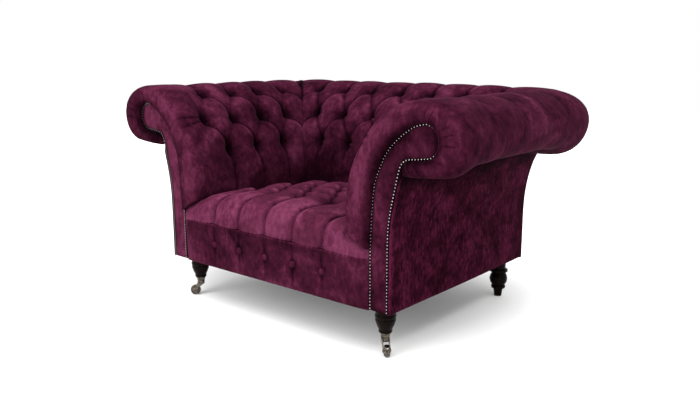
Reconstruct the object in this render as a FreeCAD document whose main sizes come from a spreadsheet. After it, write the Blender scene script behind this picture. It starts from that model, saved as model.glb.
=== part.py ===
import FreeCAD, Part
import math
import os
import Sketcher

# Scroll-arm deep-buttoned armchair. Millimetres, +Z up, the front faces -Y.
# The origin is on the floor, under the middle of the chair's box.

V = FreeCAD.Vector
X_AXIS, Y_AXIS, Z_AXIS = V(1, 0, 0), V(0, 1, 0), V(0, 0, 1)
QUARTER_SAG = (math.sqrt(2) - 1) / 2
# Share of a button's or nail's height that is its straight rim.
DOME_RIM = 0.3
# Bow of an arc just under a half circle, as a share of its radius.
NEAR_HALF = 0.95

SIZES = [
    ("overall_width", 1474, "across the arm rolls"),
    ("overall_depth", 957, "front of the arm pads to the rear of the back roll"),
    ("overall_height", 762, "floor to the top of the rolls"),
    ("base_clearance", 152, "floor to the underside of the seat frame"),
    ("roll_overhang", 247, "arm roll beyond the outside arm panel"),
    ("back_overhang", 142, "back roll beyond the outside back panel"),
    ("front_bulge", 25, "how far the arm pads swell in front of the facings"),
    ("corner_radius", 246, "plan radius of the roll at the rear corners"),
    ("soft_gap", 0.5, "clearance round a soft piece"),
    ("fit_gap", 0.05, "clearance of a pin or screw in its hole"),
    # scroll core that the frame fills
    ("core_thickness", 61, "inner to outer face of the arm frame"),
    ("eye_radius", 47, "scroll eye"),
    ("eye_inset", 145, "eye centre to the outermost point of the roll"),
    ("eye_drop", 112, "eye centre below the top of the roll"),
    ("elbow_radius", 42, "hollow under the scroll eye"),
    ("neck_lean", 38, "how far the outer face leans out below the eye"),
    ("core_sag", 0.05, "bow of the core's long curves, as a share of their chord"),
    # padded roll
    ("roll_height", 210, "top to underside of the roll"),
    ("roll_tip_rise", 10, "outermost point of the roll above the eye centre"),
    ("roll_bottom_shift", 48, "lowest point of the roll outward of the eye centre"),
    ("roll_end_inset", 14, "inner end of the roll inward of the elbow"),
    # tufted faces of the arms and back
    ("pad_thickness", 73, "arm pad at the seat"),
    ("pad_bow", 12, "swell of the pad below the lowest buttons"),
    ("row_thickness", 82, "pad over the core at the button rows"),
    ("tuft_depth", 40, "pillow crest to button pit"),
    ("pleat_depth", 16, "pleat below the lowest buttons"),
    ("pillow_bow", 7, "swell of each half pillow"),
    ("low_row_drop", 236, "lowest button row below the top of the roll"),
    ("mid_row_drop", 130, "middle button row below the top of the roll"),
    ("top_row_drop", 46, "top button row below the top of the roll"),
    ("low_row_lean", 5, "crest of the lowest row behind the pad face"),
    ("mid_row_lean", 54, "crest of the middle row behind the pad face"),
    ("top_row_lean", 130, "crest of the top row behind the pad face"),
    ("mid_row_angle", 12, "tilt of the middle row's face in degrees"),
    ("top_row_angle", 32, "tilt of the top row's face in degrees"),
    ("button_pitch", 138, "spacing of buttons along a row"),
    ("first_column", 104, "first arm button behind the facing"),
    ("button_radius", 11, "covered buttons"),
    ("button_height", 8, "covered buttons"),
    ("button_sink", 2, "how far a button is pulled into its pit"),
    # covers and facings
    ("outside_panel", 16, "padded outside panels"),
    ("panel_flare", 47, "how far the outside arm panel flares out at its top"),
    ("panel_straight", 188, "height of the straight part of the outside panel"),
    ("panel_sag", 0.09, "bow of the flare, as a share of its chord"),
    ("panel_drop", 5, "top of the outside panels below the roll"),
    ("facing_panel", 12, "padded scroll facing"),
    ("facing_board", 22, "board behind the facing"),
    ("nail_radius", 4.8, "dome nails"),
    ("nail_height", 3.2, "dome nails"),
    ("nail_pitch", 11, "spacing of the nails"),
    ("nail_inset", 7, "nail line inside the facing's edge"),
    ("hessian", 2, "hessian sheets"),
    ("dust_sheet", 1.5, "dust cover"),
    ("dust_notch", 100, "corner notches of the dust cover, for the legs"),
    # seat
    ("border_height", 154, "front border"),
    ("border_proud", 18, "front border in front of the facings"),
    ("border_pleat", 8, "pleats of the front border"),
    ("border_bow", 5, "swell of the border's face"),
    ("border_button_rise", 86, "border buttons above the base"),
    ("seat_pitch", 122, "spacing of the seat and border buttons"),
    ("seat_rise", 118, "crest of the seat pillows above the front border"),
    ("seat_side_drop", 30, "how far the seat falls towards the arms"),
    ("seat_rear_drop", 22, "how far the seat falls towards the back"),
    ("seat_first_row", 160, "first row of seat buttons behind the facings"),
    ("seat_row_pitch", 95, "spacing of the rows of seat buttons"),
    ("seat_tuft", 46, "seat pillow crest to button pit"),
    ("nosing_pleat", 14, "pleats over the seat's front edge"),
    ("nosing_round", 52, "height lost at the very front of the nosing"),
    ("seat_bow", 5, "swell of each half seat pillow"),
    ("seat_wing", 44, "thickness of the seat under the arm pads"),
    # hardwood frame
    ("rail_height", 143, "seat rails"),
    ("front_rail", 40, "front and back seat rails, thickness"),
    ("side_rail", 30, "side seat rails, thickness"),
    ("front_post", 50, "front posts, front to back"),
    ("post_inset", 3, "front post behind the core's inner face"),
    ("back_post", 50, "back posts, front to back"),
    ("back_post_width", 80, "back posts, across"),
    ("tack_rail_height", 25, "tack rails"),
    ("tack_rail", 30, "tack rails, thickness"),
    ("corner_block", 90, "legs of the corner blocks"),
    ("corner_block_height", 60, "corner blocks"),
    ("screw_radius", 2.5, "frame screws"),
    ("screw_head", 5, "head radius of the frame screws"),
    ("screw_head_depth", 2, "head thickness of the frame screws"),
    ("screw_length", 46, "frame screws below the head"),
    ("screw_edge", 40, "first frame screw above the base"),
    ("screw_step", 90, "spacing of the frame screws"),
    # seat springs
    ("spring_count", 6, "sinuous springs"),
    ("spring_wire", 3.8, "spring wire diameter"),
    ("spring_width", 44, "straight runs of a spring"),
    ("spring_step", 22, "spacing of the runs"),
    ("spring_spacing", 112, "spacing of the springs"),
    ("spring_clip", 8, "clips that hold the spring ends"),
    ("spring_rise", 5, "spring centre line above the rails"),
    # legs
    ("leg_inset", 65, "leg axes inside the outside arm panels"),
    ("front_leg_set", 62, "front leg axis behind the facings"),
    ("rear_leg_set", 38, "rear leg axis in front of the outside back"),
    ("bolt_radius", 4, "hanger bolts"),
    ("bolt_in_leg", 32, "hanger bolt in the leg"),
    ("bolt_in_post", 42, "hanger bolt in the post"),
    ("leg_collar", 27, "front leg, radius at the top"),
    ("leg_ring", 29.5, "front leg, radius of the top ring"),
    ("leg_ring_height", 11, "front leg, top ring"),
    ("leg_neck", 25, "front leg, radius under the top ring"),
    ("leg_vase", 29, "front leg, widest radius of the vase"),
    ("leg_ankle", 19.5, "front leg, radius at the ankle"),
    ("leg_foot_ring", 21, "front leg, radius of the lower ring"),
    ("leg_foot_ring_height", 7, "front leg, lower ring"),
    ("leg_top", 4, "front leg, plain top above the ring"),
    ("leg_step", 3, "front leg, short plain steps"),
    ("leg_vase_drop", 14, "front leg, widest point of the vase below the top ring"),
    ("leg_swell", 3, "front leg, swell of the vase"),
    ("leg_end_z", 91, "end of the front leg's wood above the floor"),
    ("tenon_radius", 10.5, "front leg, tenon in the castor cup"),
    ("tenon_length", 19, "front leg, tenon in the castor cup"),
    ("rear_foot", 13.5, "rear leg, radius on the floor"),
    ("rear_foot_top", 17, "rear leg, radius of the foot's top"),
    ("rear_foot_height", 29, "rear leg, foot"),
    ("rear_collar", 26, "rear leg, radius of the lower collar"),
    ("rear_collar_height", 14, "rear leg, lower collar"),
    ("rear_ball", 32, "rear leg, radius of the ball"),
    ("rear_ball_height", 44, "rear leg, ball"),
    ("rear_neck", 24, "rear leg, radius of the necks"),
    ("rear_ring", 33, "rear leg, radius of the upper ring"),
    ("rear_ring_height", 13, "rear leg, upper ring"),
    ("rear_ring_swell", 4, "rear leg, rounding of the upper ring"),
    ("rear_neck_height", 4, "rear leg, neck under the upper ring"),
    ("rear_top", 35, "rear leg, radius at the top"),
    # castors
    ("cup_rim", 16, "castor cup, radius at the rim"),
    ("cup_base", 10, "castor cup, radius at the base"),
    ("cup_band", 5, "castor cup, straight band at the rim"),
    ("cup_lip", 1.5, "castor cup, step under the band"),
    ("cup_floor", 7, "castor cup, thickness of the floor"),
    ("swivel_gap", 0.4, "castor cup to horn"),
    ("pin_radius", 3.5, "swivel pin"),
    ("pin_head", 5.5, "swivel pin, radius of the riveted head"),
    ("pin_head_depth", 2, "swivel pin, head"),
    ("hub_radius", 8.5, "castor horn, hub"),
    ("hub_height", 18, "castor horn, hub"),
    ("castor_trail", 21, "swivel axis to axle"),
    ("castor_angle", 49, "rest direction of the horns, degrees outward from straight ahead"),
    ("wheel_radius", 18.5, "castor wheel"),
    ("wheel_width", 15, "castor wheel"),
    ("wheel_edge", 3, "rounded edges of the wheel"),
    ("wheel_gap", 1.2, "wheel to horn"),
    ("cheek", 3, "castor horn, thickness of the cheeks"),
    ("horn_bow", 2, "castor horn, swell of its front"),
    ("cheek_boss", 7, "castor horn, radius round the axle"),
    ("axle_radius", 2.5, "wheel axle"),
]

LAYOUT = [
    ("half_width", "Sizes.overall_width / 2"),
    ("front_y", "-Sizes.overall_depth / 2"),
    ("rear_y", "Sizes.overall_depth / 2"),
    ("facing_y", "Layout.front_y + Sizes.front_bulge"),
    ("back_y", "Layout.rear_y - Sizes.back_overhang"),
    ("base_x", "Layout.half_width - Sizes.roll_overhang"),
    ("core_out", "Layout.base_x - Sizes.outside_panel"),
    ("core_in", "Layout.core_out - Sizes.core_thickness"),
    ("board_y", "Layout.facing_y + Sizes.facing_panel"),
    ("post_y", "Layout.board_y + Sizes.facing_board"),
    ("post_in", "Layout.core_in + Sizes.post_inset"),
    ("back_core_y", "Layout.back_y - Sizes.outside_panel"),
    ("rail_top", "Sizes.base_clearance + Sizes.rail_height"),
    ("border_top", "Sizes.base_clearance + Sizes.border_height"),
    ("pad_bottom", "Layout.border_top + Sizes.seat_wing"),
    ("tack_low", "Layout.pad_bottom - Sizes.tack_rail_height"),
    ("seat_crown", "Layout.border_top + Sizes.seat_rise"),
    ("leg_x", "Layout.base_x - Sizes.leg_inset"),
    ("axis_x", "Layout.half_width - Sizes.corner_radius"),
    ("axis_y", "Layout.rear_y - Sizes.corner_radius"),
    ("back_shift", "Layout.rear_y - Layout.half_width"),
    ("eye_x", "Layout.half_width - Sizes.eye_inset"),
    ("eye_z", "Sizes.overall_height - Sizes.eye_drop"),
    ("roll_low", "Sizes.overall_height - Sizes.roll_height"),
    ("panel_top", "Layout.roll_low - Sizes.panel_drop"),
    ("pad_face", "Layout.core_in - Sizes.pad_thickness"),
    ("seat_half", "Layout.pad_face - Sizes.pad_bow - Sizes.soft_gap"),
    ("seat_rear", "Layout.seat_half + Layout.back_shift"),
    ("rail_radius", "Sizes.eye_radius - Sizes.hessian - Sizes.soft_gap"),
    ("front_leg_y", "Layout.facing_y + Sizes.front_leg_set"),
    ("rear_leg_y", "Layout.back_y - Sizes.rear_leg_set"),
    ("cup_bottom", "Sizes.leg_end_z - Sizes.tenon_length - Sizes.cup_floor"),
    ("hub_top", "Layout.cup_bottom - Sizes.swivel_gap"),
    ("hub_bottom", "Layout.hub_top - Sizes.hub_height"),
    ("screw_x", "(Layout.post_in + Layout.core_out) / 2"),
    ("screw_low", "Sizes.base_clearance + Sizes.screw_edge"),
    ("screw_high", "Layout.screw_low + Sizes.screw_step"),
]
SCREWS = ("screw_low", "screw_high")

doc = FreeCAD.newDocument("Armchair")
sizes = doc.addObject("Spreadsheet::Sheet", "Sizes")
for line, (alias, value, note) in enumerate(SIZES, start=1):
    sizes.set(f"A{line}", note)
    sizes.set(f"B{line}", str(value))
    sizes.setAlias(f"B{line}", alias)
layout = doc.addObject("Spreadsheet::Sheet", "Layout")
for line, (alias, formula) in enumerate(LAYOUT, start=1):
    layout.set(f"A{line}", "=" + formula)
    layout.setAlias(f"A{line}", alias)
doc.recompute()

S = {alias: float(sizes.get(alias)) for alias, value, note in SIZES}
L = {alias: float(layout.get(alias)) for alias, formula in LAYOUT}
nodes = []


# Shared makers

def keep(obj, label):
    """Lists an object as a sub-part of the chair."""
    obj.Label = label
    nodes.append(obj)
    return obj


def solid(label, shape):
    """A sub-part whose shape is worked out by the functions below."""
    obj = doc.addObject("Part::Feature", label)
    obj.Shape = shape
    return keep(obj, label)


def bar(label, x, y, z, listed=True):
    """A straight rail or post between pairs of expressions."""
    obj = doc.addObject("Part::Box", label)
    for prop, axis, (low, high) in (("Length", "x", x), ("Width", "y", y), ("Height", "z", z)):
        obj.setExpression(prop, f"({high}) - ({low})")
        obj.setExpression(f"Placement.Base.{axis}", low)
    return keep(obj, label) if listed else obj


def rod(label, radius, height, x, y, z):
    """An upright cylinder that other pieces are drilled with or made of."""
    obj = doc.addObject("Part::Cylinder", label)
    obj.setExpression("Radius", radius)
    obj.setExpression("Height", height)
    for axis, place in (("x", x), ("y", y), ("z", z)):
        obj.setExpression(f"Placement.Base.{axis}", place)
    return obj


def drilled(label, base, *tools):
    """A piece with holes."""
    for count, tool in enumerate(tools):
        cut = doc.addObject("Part::Cut", f"{label}_cut_{count}")
        cut.Base = base
        cut.Tool = tool
        base = cut
    return keep(base, label)


def turned(label, profile, x, y):
    """A turned piece: a profile of (radius, height) expressions, some with the swell of the next stretch."""
    corners = [corner[:2] for corner in profile]
    bows = {k: corner[2] for k, corner in enumerate(profile) if len(corner) > 2}
    body = doc.addObject("PartDesign::Body", label)
    sketch = body.newObject("Sketcher::SketchObject", f"{label}_profile")
    plane = next(f for f in body.Origin.OriginFeatures if f.Role == "XZ_Plane")
    sketch.AttachmentSupport = (plane, [""])
    sketch.MapMode = "FlatFace"
    points = [V(float(layout.evalExpression(a)), float(layout.evalExpression(b)), 0) for a, b in corners]
    ends = []
    for k, point in enumerate(points):
        target = points[(k + 1) % len(points)]
        if k in bows:
            bow = float(layout.evalExpression(bows[k]))
            across = (target - point).cross(Z_AXIS).normalize()
            curve = Part.Arc(point, (point + target) * 0.5 + across * bow, target)
        else:
            curve = Part.LineSegment(point, target)
        index = sketch.addGeometry(curve)
        first = sketch.getPoint(index, 1)
        ends.append((index, 1, 2) if (first - point).Length < (first - target).Length else (index, 2, 1))
    for k, (index, start, end) in enumerate(ends):
        follow, begin, _ = ends[(k + 1) % len(ends)]
        sketch.addConstraint(Sketcher.Constraint("Coincident", index, end, follow, begin))
        for kind, value, words in (("DistanceX", points[k].x, corners[k][0]),
                                   ("DistanceY", points[k].y, corners[k][1])):
            number = sketch.addConstraint(Sketcher.Constraint(kind, -1, 1, index, start, value))
            sketch.setExpression(f"Constraints[{number}]", words)
        if k in bows:
            (ax, az), (bx, bz) = corners[k], corners[(k + 1) % len(corners)]
            chord = f"((({bx}) - ({ax}))^2 + (({bz}) - ({az}))^2)"
            radius = f"({chord} / 4 + ({bows[k]})^2) / (2 * ({bows[k]}))"
            start_value = float(layout.evalExpression(radius))
            number = sketch.addConstraint(Sketcher.Constraint("Radius", index, start_value))
            sketch.setExpression(f"Constraints[{number}]", radius)
    turn = body.newObject("PartDesign::Revolution", f"{label}_turn")
    turn.Profile = sketch
    turn.ReferenceAxis = (sketch, ["V_Axis"])
    turn.Angle = 360
    body.setExpression("Placement.Base.x", x)
    body.setExpression("Placement.Base.y", y)
    return keep(body, label)


def mirrored(shape):
    """The left-hand copy of a right-hand shape."""
    return shape.mirror(V(0, 0, 0), X_AXIS)


def bowed(start, end, bow):
    """A line or an arc between two points of a flat outline, bowed to the left of its travel."""
    if abs(bow) < 1e-6:
        return Part.LineSegment(start, end)
    along = end - start
    left = V(-along.z, 0, along.x).normalize()
    return Part.Arc(start, (start + end) * 0.5 + left * bow, end)


def outline(points, bows, place=None):
    """A closed wire through flat points (x, 0, z), each stretch with its own bow."""
    edges = []
    for k, start in enumerate(points):
        end = points[(k + 1) % len(points)]
        curve = bowed(start, end, bows[k])
        if place is None:
            edges.append(curve.toShape())
        elif isinstance(curve, Part.LineSegment):
            edges.append(Part.LineSegment(place(start), place(end)).toShape())
        else:
            middle = curve.value((curve.FirstParameter + curve.LastParameter) / 2)
            edges.append(Part.Arc(place(start), place(middle), place(end)).toShape())
    return Part.Wire(edges)


def quarter(start, end):
    """Bow of a quarter circle between two points."""
    return QUARTER_SAG * (end - start).Length


def easing(start, end, heading):
    """Bow of the arc between two points that runs along a heading at one of its ends."""
    chord = end - start
    return chord.Length / 2 * math.tan(chord.getAngle(heading) / 2)


# Scroll section, shared by the arms and the back. Points are (x, 0, z) on the right arm.

def facing_way(angle):
    """Direction from a tufted face into the core."""
    turn = math.radians(angle)
    return V(math.cos(turn), 0, -math.sin(turn))


def row_crest(lean, drop):
    """Crest of a pillow row on the inner face."""
    return V(L["pad_face"] + S[lean], 0, S["overall_height"] - S[drop])


ROWS = {
    "low": (row_crest("low_row_lean", "low_row_drop"), facing_way(0)),
    "mid": (row_crest("mid_row_lean", "mid_row_drop"), facing_way(S["mid_row_angle"])),
    "top": (row_crest("top_row_lean", "top_row_drop"), facing_way(S["top_row_angle"])),
}


def crest(row):
    return ROWS[row][0]


def pit(row):
    return ROWS[row][0] + ROWS[row][1] * S["tuft_depth"]


def core_row(row, grow):
    return ROWS[row][0] + ROWS[row][1] * (S["row_thickness"] - grow)


def eye(side_x, side_z, grow):
    reach = S["eye_radius"] + grow
    return V(L["eye_x"] + side_x * reach, 0, L["eye_z"] + side_z * reach)


def elbow(grow):
    """Upper and lower ends of the hollow under the eye."""
    radius = S["elbow_radius"] - grow
    upper = V(L["core_out"] + S["neck_lean"] + S["elbow_radius"], 0, L["eye_z"] - S["eye_radius"] - grow)
    return upper, V(upper.x - radius, 0, upper.z - radius)


def core_outline(grow):
    """Points and bows of the scroll outline, grown outward."""
    upper, lower = elbow(grow)
    foot, shoulder = S["base_clearance"], L["pad_bottom"]
    points = [V(L["core_in"] - grow, 0, foot), V(L["core_in"] - grow, 0, shoulder)]
    points += [core_row(row, grow) for row in ROWS]
    points += [eye(0, 1, grow), eye(1, 0, grow), eye(0, -1, grow), upper, lower]
    points += [V(L["core_out"] + grow, 0, shoulder), V(L["core_out"] + grow, 0, foot)]
    bows = [0] * len(points)
    for k in (1, 2, 3):
        bows[k] = S["core_sag"] * (points[k + 1] - points[k]).Length
    bows[4] = easing(points[4], points[5], X_AXIS)
    for k in (5, 6):
        bows[k] = quarter(points[k], points[k + 1])
    bows[8] = -quarter(points[8], points[9])
    bows[9] = -S["core_sag"] * (points[10] - points[9]).Length
    return points, bows


def pad_section(tufted, end_x, inward=0.0, outward=0.0, place=None):
    """Wire of a padded roll. tufted says which rows are button pits; inward and outward thin it."""
    grow = S["soft_gap"]
    low = L["pad_face"] + (S["pleat_depth"] if "low" in tufted else 0)
    outer = [V(low, 0, L["pad_bottom"])]
    outer += [pit(row) if row in tufted else crest(row) for row in ROWS]
    top = V(L["eye_x"], 0, S["overall_height"])
    tip = V(L["half_width"], 0, L["eye_z"] + S["roll_tip_rise"])
    shoulder = V(top.x + (tip.x - top.x) * math.sqrt(0.5), 0, tip.z + (top.z - tip.z) * math.sqrt(0.5))
    lowest = V(L["eye_x"] + S["roll_bottom_shift"], 0, L["roll_low"])
    outer += [top, shoulder, tip, lowest, V(end_x, 0, L["roll_low"])]
    inner = [V(L["core_in"] - grow, 0, L["pad_bottom"])]
    inner += [core_row(row, grow) for row in ROWS]
    inner += [eye(0, 1, grow), eye(math.sqrt(0.5), math.sqrt(0.5), grow), eye(1, 0, grow), eye(0, -1, grow)]
    inner.append(V(end_x + S["roll_end_inset"], 0, L["eye_z"] - S["eye_radius"] - grow))
    thin_outer = [o + (i - o) * inward for o, i in zip(outer, inner)]
    thin_inner = [i + (o - i) * outward for o, i in zip(outer, inner)]
    points = thin_outer + thin_inner[::-1]
    bows = [S["pad_bow"], S["pillow_bow"], S["pillow_bow"]]
    headings = [X_AXIS, X_AXIS, Z_AXIS * -1, Z_AXIS * -1]
    bows += [easing(points[3 + k], points[4 + k], heading) for k, heading in enumerate(headings)]
    bows += [0, 0, 0]
    headings = [Z_AXIS, Z_AXIS, X_AXIS * -1, X_AXIS * -1]
    bows += [-easing(points[10 + k], points[11 + k], heading) for k, heading in enumerate(headings)]
    bows += [-S["core_sag"] * (points[k + 1] - points[k]).Length for k in (14, 15, 16)]
    bows.append(0)
    return outline(points, bows, place)


def on_arm(y):
    return lambda p: V(p.x, y, p.z)


def on_back(x):
    return lambda p: V(x, p.x + L["back_shift"], p.z)


ODD_ROWS, EVEN_ROWS, PLAIN = ("mid",), ("low", "top"), ()
HALF_PITCH = S["button_pitch"] / 2
ARM_END_X = elbow(0)[0].x - S["roll_end_inset"]
BACK_END_X = L["back_y"] - L["back_shift"] + S["soft_gap"]


def arm_columns():
    """Places of the button columns along an arm, with the rows that are buttoned there."""
    start = L["facing_y"] + S["first_column"]
    count = int((L["axis_y"] - HALF_PITCH / 4 - start) / HALF_PITCH)
    return [(start + k * HALF_PITCH, EVEN_ROWS if k % 2 else ODD_ROWS) for k in range(count + 1)]


def back_columns():
    """Places of the button columns across the back."""
    count = int((L["axis_x"] - HALF_PITCH / 2) / HALF_PITCH)
    return [(k * HALF_PITCH, ODD_ROWS if k % 2 else EVEN_ROWS) for k in range(-count, count + 1)]


def corner_wedge():
    """The space behind the diagonal where the right arm pad gives way to the back pad."""
    reach = L["axis_x"]
    gap = S["soft_gap"]
    corner = V(L["axis_x"], L["axis_y"] - gap, 0)
    behind = V(0, 2 * gap, 0)
    points = [corner, corner + behind, corner + behind - X_AXIS * reach, corner + V(-reach, -reach, 0)]
    wedge = Part.Face(Part.makePolygon(points + points[:1]))
    return wedge.extrude(Z_AXIS * (2 * S["overall_height"]))


def back_wedge():
    """The same space seen from the back: what belongs to the right arm."""
    reach = L["axis_x"]
    points = [V(L["axis_x"], L["axis_y"], 0), V(L["axis_x"], L["axis_y"] - reach, 0)]
    points.append(V(L["axis_x"] - reach, L["axis_y"] - reach, 0))
    wedge = Part.Face(Part.makePolygon(points + points[:1]))
    return wedge.extrude(Z_AXIS * (2 * S["overall_height"]))


def dome(radius, height):
    """A round head on a short rim, standing on the origin."""
    rim = height * DOME_RIM
    ball = (radius ** 2 + (height - rim) ** 2) / (2 * (height - rim))
    half = math.asin(min(1.0, radius / ball)) / 2
    middle = V(ball * math.sin(half), 0, height - ball + ball * math.cos(half))
    foot, edge, top = V(radius, 0, 0), V(radius, 0, rim), V(0, 0, height)
    profile = Part.Wire([
        Part.LineSegment(V(0, 0, 0), foot).toShape(),
        Part.LineSegment(foot, edge).toShape(),
        Part.Arc(edge, middle, top).toShape(),
        Part.LineSegment(top, V(0, 0, 0)).toShape(),
    ])
    return Part.makeSolid(Part.Face(profile).revolve(V(0, 0, 0), Z_AXIS, 360).Shells[0])


def buttons(places):
    """Covered dome buttons. Each place is a point and the direction from the face into the pad."""
    head = dome(S["button_radius"], S["button_height"])
    made = []
    for point, into in places:
        button = head.copy()
        seat = point + into * S["button_sink"]
        button.Placement = FreeCAD.Placement(seat, FreeCAD.Rotation(Z_AXIS, into * -1))
        made.append(button)
    return Part.makeCompound(made)


# Hardwood frame

CLEAR, TOP = "Sizes.base_clearance", "Layout.rail_top"
LEG_HOLE = "Sizes.bolt_radius + Sizes.fit_gap"


def seat_frame():
    front = ("Layout.board_y + 2 * Sizes.soft_gap", "Layout.board_y + 2 * Sizes.soft_gap + Sizes.front_rail")
    bar("front_seat_rail", ("-Layout.core_in", "Layout.core_in"), front, (CLEAR, TOP))
    back_inner = "Layout.core_out - Sizes.back_post_width"
    bar("back_seat_rail", (f"-({back_inner})", back_inner),
        ("Layout.back_core_y - Sizes.front_rail", "Layout.back_core_y"), (CLEAR, TOP))
    for side, sign in (("left", -1), ("right", 1)):
        span = ("Layout.core_out - Sizes.side_rail", "Layout.core_out")
        between = ("Layout.post_y + Sizes.front_post", "Layout.back_core_y - Sizes.back_post")
        bar(f"{side}_seat_rail", sided(span, sign), between, (CLEAR, TOP))


def sided(span, sign):
    """The pair of x expressions on the chair's right side, or mirrored to its left."""
    return span if sign > 0 else (f"-({span[1]})", f"-({span[0]})")


def posts():
    for side, sign in (("left", -1), ("right", 1)):
        x = f"{sign} * Layout.leg_x"
        lift = "Sizes.base_clearance - Sizes.fit_gap"
        deep = "Sizes.bolt_in_post + 2 * Sizes.fit_gap"
        front = bar(f"{side}_front_post_blank", sided(("Layout.post_in", "Layout.core_out"), sign),
                    ("Layout.post_y", "Layout.post_y + Sizes.front_post"),
                    (CLEAR, "Layout.pad_bottom"), False)
        holes = [rod(f"{side}_front_post_hole", LEG_HOLE, deep, x, "Layout.front_leg_y", lift)]
        holes += [screw_hole(side, sign, level) for level in SCREWS]
        drilled(f"{side}_front_post", front, *holes)
        wide = ("Layout.core_out - Sizes.back_post_width", "Layout.core_out")
        back = bar(f"{side}_back_post_blank", sided(wide, sign),
                   ("Layout.back_core_y - Sizes.back_post", "Layout.back_core_y"),
                   (CLEAR, "Layout.eye_z"), False)
        hole = rod(f"{side}_back_post_hole", LEG_HOLE, deep, x, "Layout.rear_leg_y", lift)
        saddle = rod(f"{side}_back_post_saddle", "Layout.rail_radius + Sizes.soft_gap", "2 * Layout.axis_x",
                     "-Layout.axis_x", "Layout.axis_y + Layout.eye_x - Layout.axis_x", "Layout.eye_z")
        saddle.Placement.Rotation = FreeCAD.Rotation(Y_AXIS, 90)
        drilled(f"{side}_back_post", back, hole, saddle)


def screw_hole(side, sign, level):
    """A hole for one of the screws that hold a facing board to its post."""
    hole = rod(f"{side}_post_{level}_hole", "Sizes.screw_radius + Sizes.fit_gap",
               "Sizes.screw_length + Sizes.screw_head_depth + Sizes.fit_gap",
               f"{sign} * Layout.screw_x", "Layout.board_y", f"Layout.{level}")
    hole.Placement.Rotation = FreeCAD.Rotation(X_AXIS, -90)
    return hole


def frame_screws():
    """Screws through the facing boards into the front posts, heads flush with the boards."""
    made = []
    for sign in (-1, 1):
        for level in SCREWS:
            start = V(sign * L["screw_x"], L["board_y"], L[level])
            head = Part.makeCylinder(S["screw_head"], S["screw_head_depth"], start, Y_AXIS)
            shank = Part.makeCylinder(S["screw_radius"], S["screw_length"],
                                      start + Y_AXIS * S["screw_head_depth"], Y_AXIS)
            made.append(head.fuse(shank).removeSplitter())
    solid("frame_screws", Part.makeCompound(made))


def tack_rails():
    lift = ("Layout.tack_low", "Layout.pad_bottom")
    inner = "Layout.core_in + Sizes.hessian + 2 * Sizes.soft_gap"
    for side, sign in (("left", -1), ("right", 1)):
        bar(f"{side}_arm_tack_rail", sided((inner, f"{inner} + Sizes.tack_rail"), sign),
            ("Layout.post_y + Sizes.front_post", "Layout.back_core_y - Sizes.back_post"), lift)
    bar("back_tack_rail", (f"-({inner})", inner),
        (f"{inner} + Layout.back_shift", f"{inner} + Layout.back_shift + Sizes.tack_rail"), lift)


def top_rails():
    for side, sign in (("left", -1), ("right", 1)):
        rail = doc.addObject("Part::Cylinder", f"{side}_arm_top_rail")
        rail.setExpression("Radius", "Layout.rail_radius")
        rail.setExpression("Height", "Layout.axis_y - Layout.post_y")
        rail.setExpression("Placement.Base.x", f"{sign} * Layout.eye_x")
        rail.setExpression("Placement.Base.y", "Layout.post_y")
        rail.setExpression("Placement.Base.z", "Layout.eye_z")
        rail.Placement.Rotation = FreeCAD.Rotation(X_AXIS, -90)
        keep(rail, f"{side}_arm_top_rail")
    z, bend = L["eye_z"], L["eye_x"] - L["axis_x"]
    far = L["axis_y"] + bend
    turn = bend * math.sqrt(0.5)
    path = [
        Part.Arc(V(-L["eye_x"], L["axis_y"], z), V(-L["axis_x"] - turn, L["axis_y"] + turn, z),
                 V(-L["axis_x"], far, z)).toShape(),
        Part.LineSegment(V(-L["axis_x"], far, z), V(L["axis_x"], far, z)).toShape(),
        Part.Arc(V(L["axis_x"], far, z), V(L["axis_x"] + turn, L["axis_y"] + turn, z),
                 V(L["eye_x"], L["axis_y"], z)).toShape(),
    ]
    ring = Part.makeCircle(L["rail_radius"], V(-L["eye_x"], L["axis_y"], z), Y_AXIS)
    bent = Part.Wire(path).makePipeShell([Part.Wire([ring])], True, False)
    solid("back_top_rail", bent)


def corner_blocks():
    """Glued triangular blocks in the corners of the seat frame."""
    reach, lift = S["corner_block"], S["base_clearance"]
    front_y = L["board_y"] + 2 * S["soft_gap"] + S["front_rail"]
    rear_y = L["back_core_y"] - S["front_rail"]
    rear_x = L["core_out"] - S["back_post_width"]
    made = []
    for sign in (-1, 1):
        for x, y, way in ((L["core_in"], front_y, 1), (rear_x, rear_y, -1)):
            corner = V(sign * x, y, lift)
            points = [corner, corner - V(sign * reach, 0, 0), corner + V(0, way * reach, 0), corner]
            face = Part.Face(Part.makePolygon(points))
            made.append(face.extrude(Z_AXIS * S["corner_block_height"]))
    solid("corner_blocks", Part.makeCompound(made))


def facing_boards():
    points, bows = core_outline(0)
    face = Part.Face(outline(points, bows, on_arm(L["board_y"])))
    board = face.extrude(Y_AXIS * S["facing_board"])
    for level in SCREWS:
        start = V(L["screw_x"], L["board_y"], L[level])
        gap = S["fit_gap"]
        board = board.cut(Part.makeCylinder(S["screw_head"] + gap, S["screw_head_depth"], start, Y_AXIS))
        board = board.cut(Part.makeCylinder(S["screw_radius"] + gap, S["facing_board"], start, Y_AXIS))
    solid("right_facing_board", board)
    solid("left_facing_board", mirrored(board))


# Suspension

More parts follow.
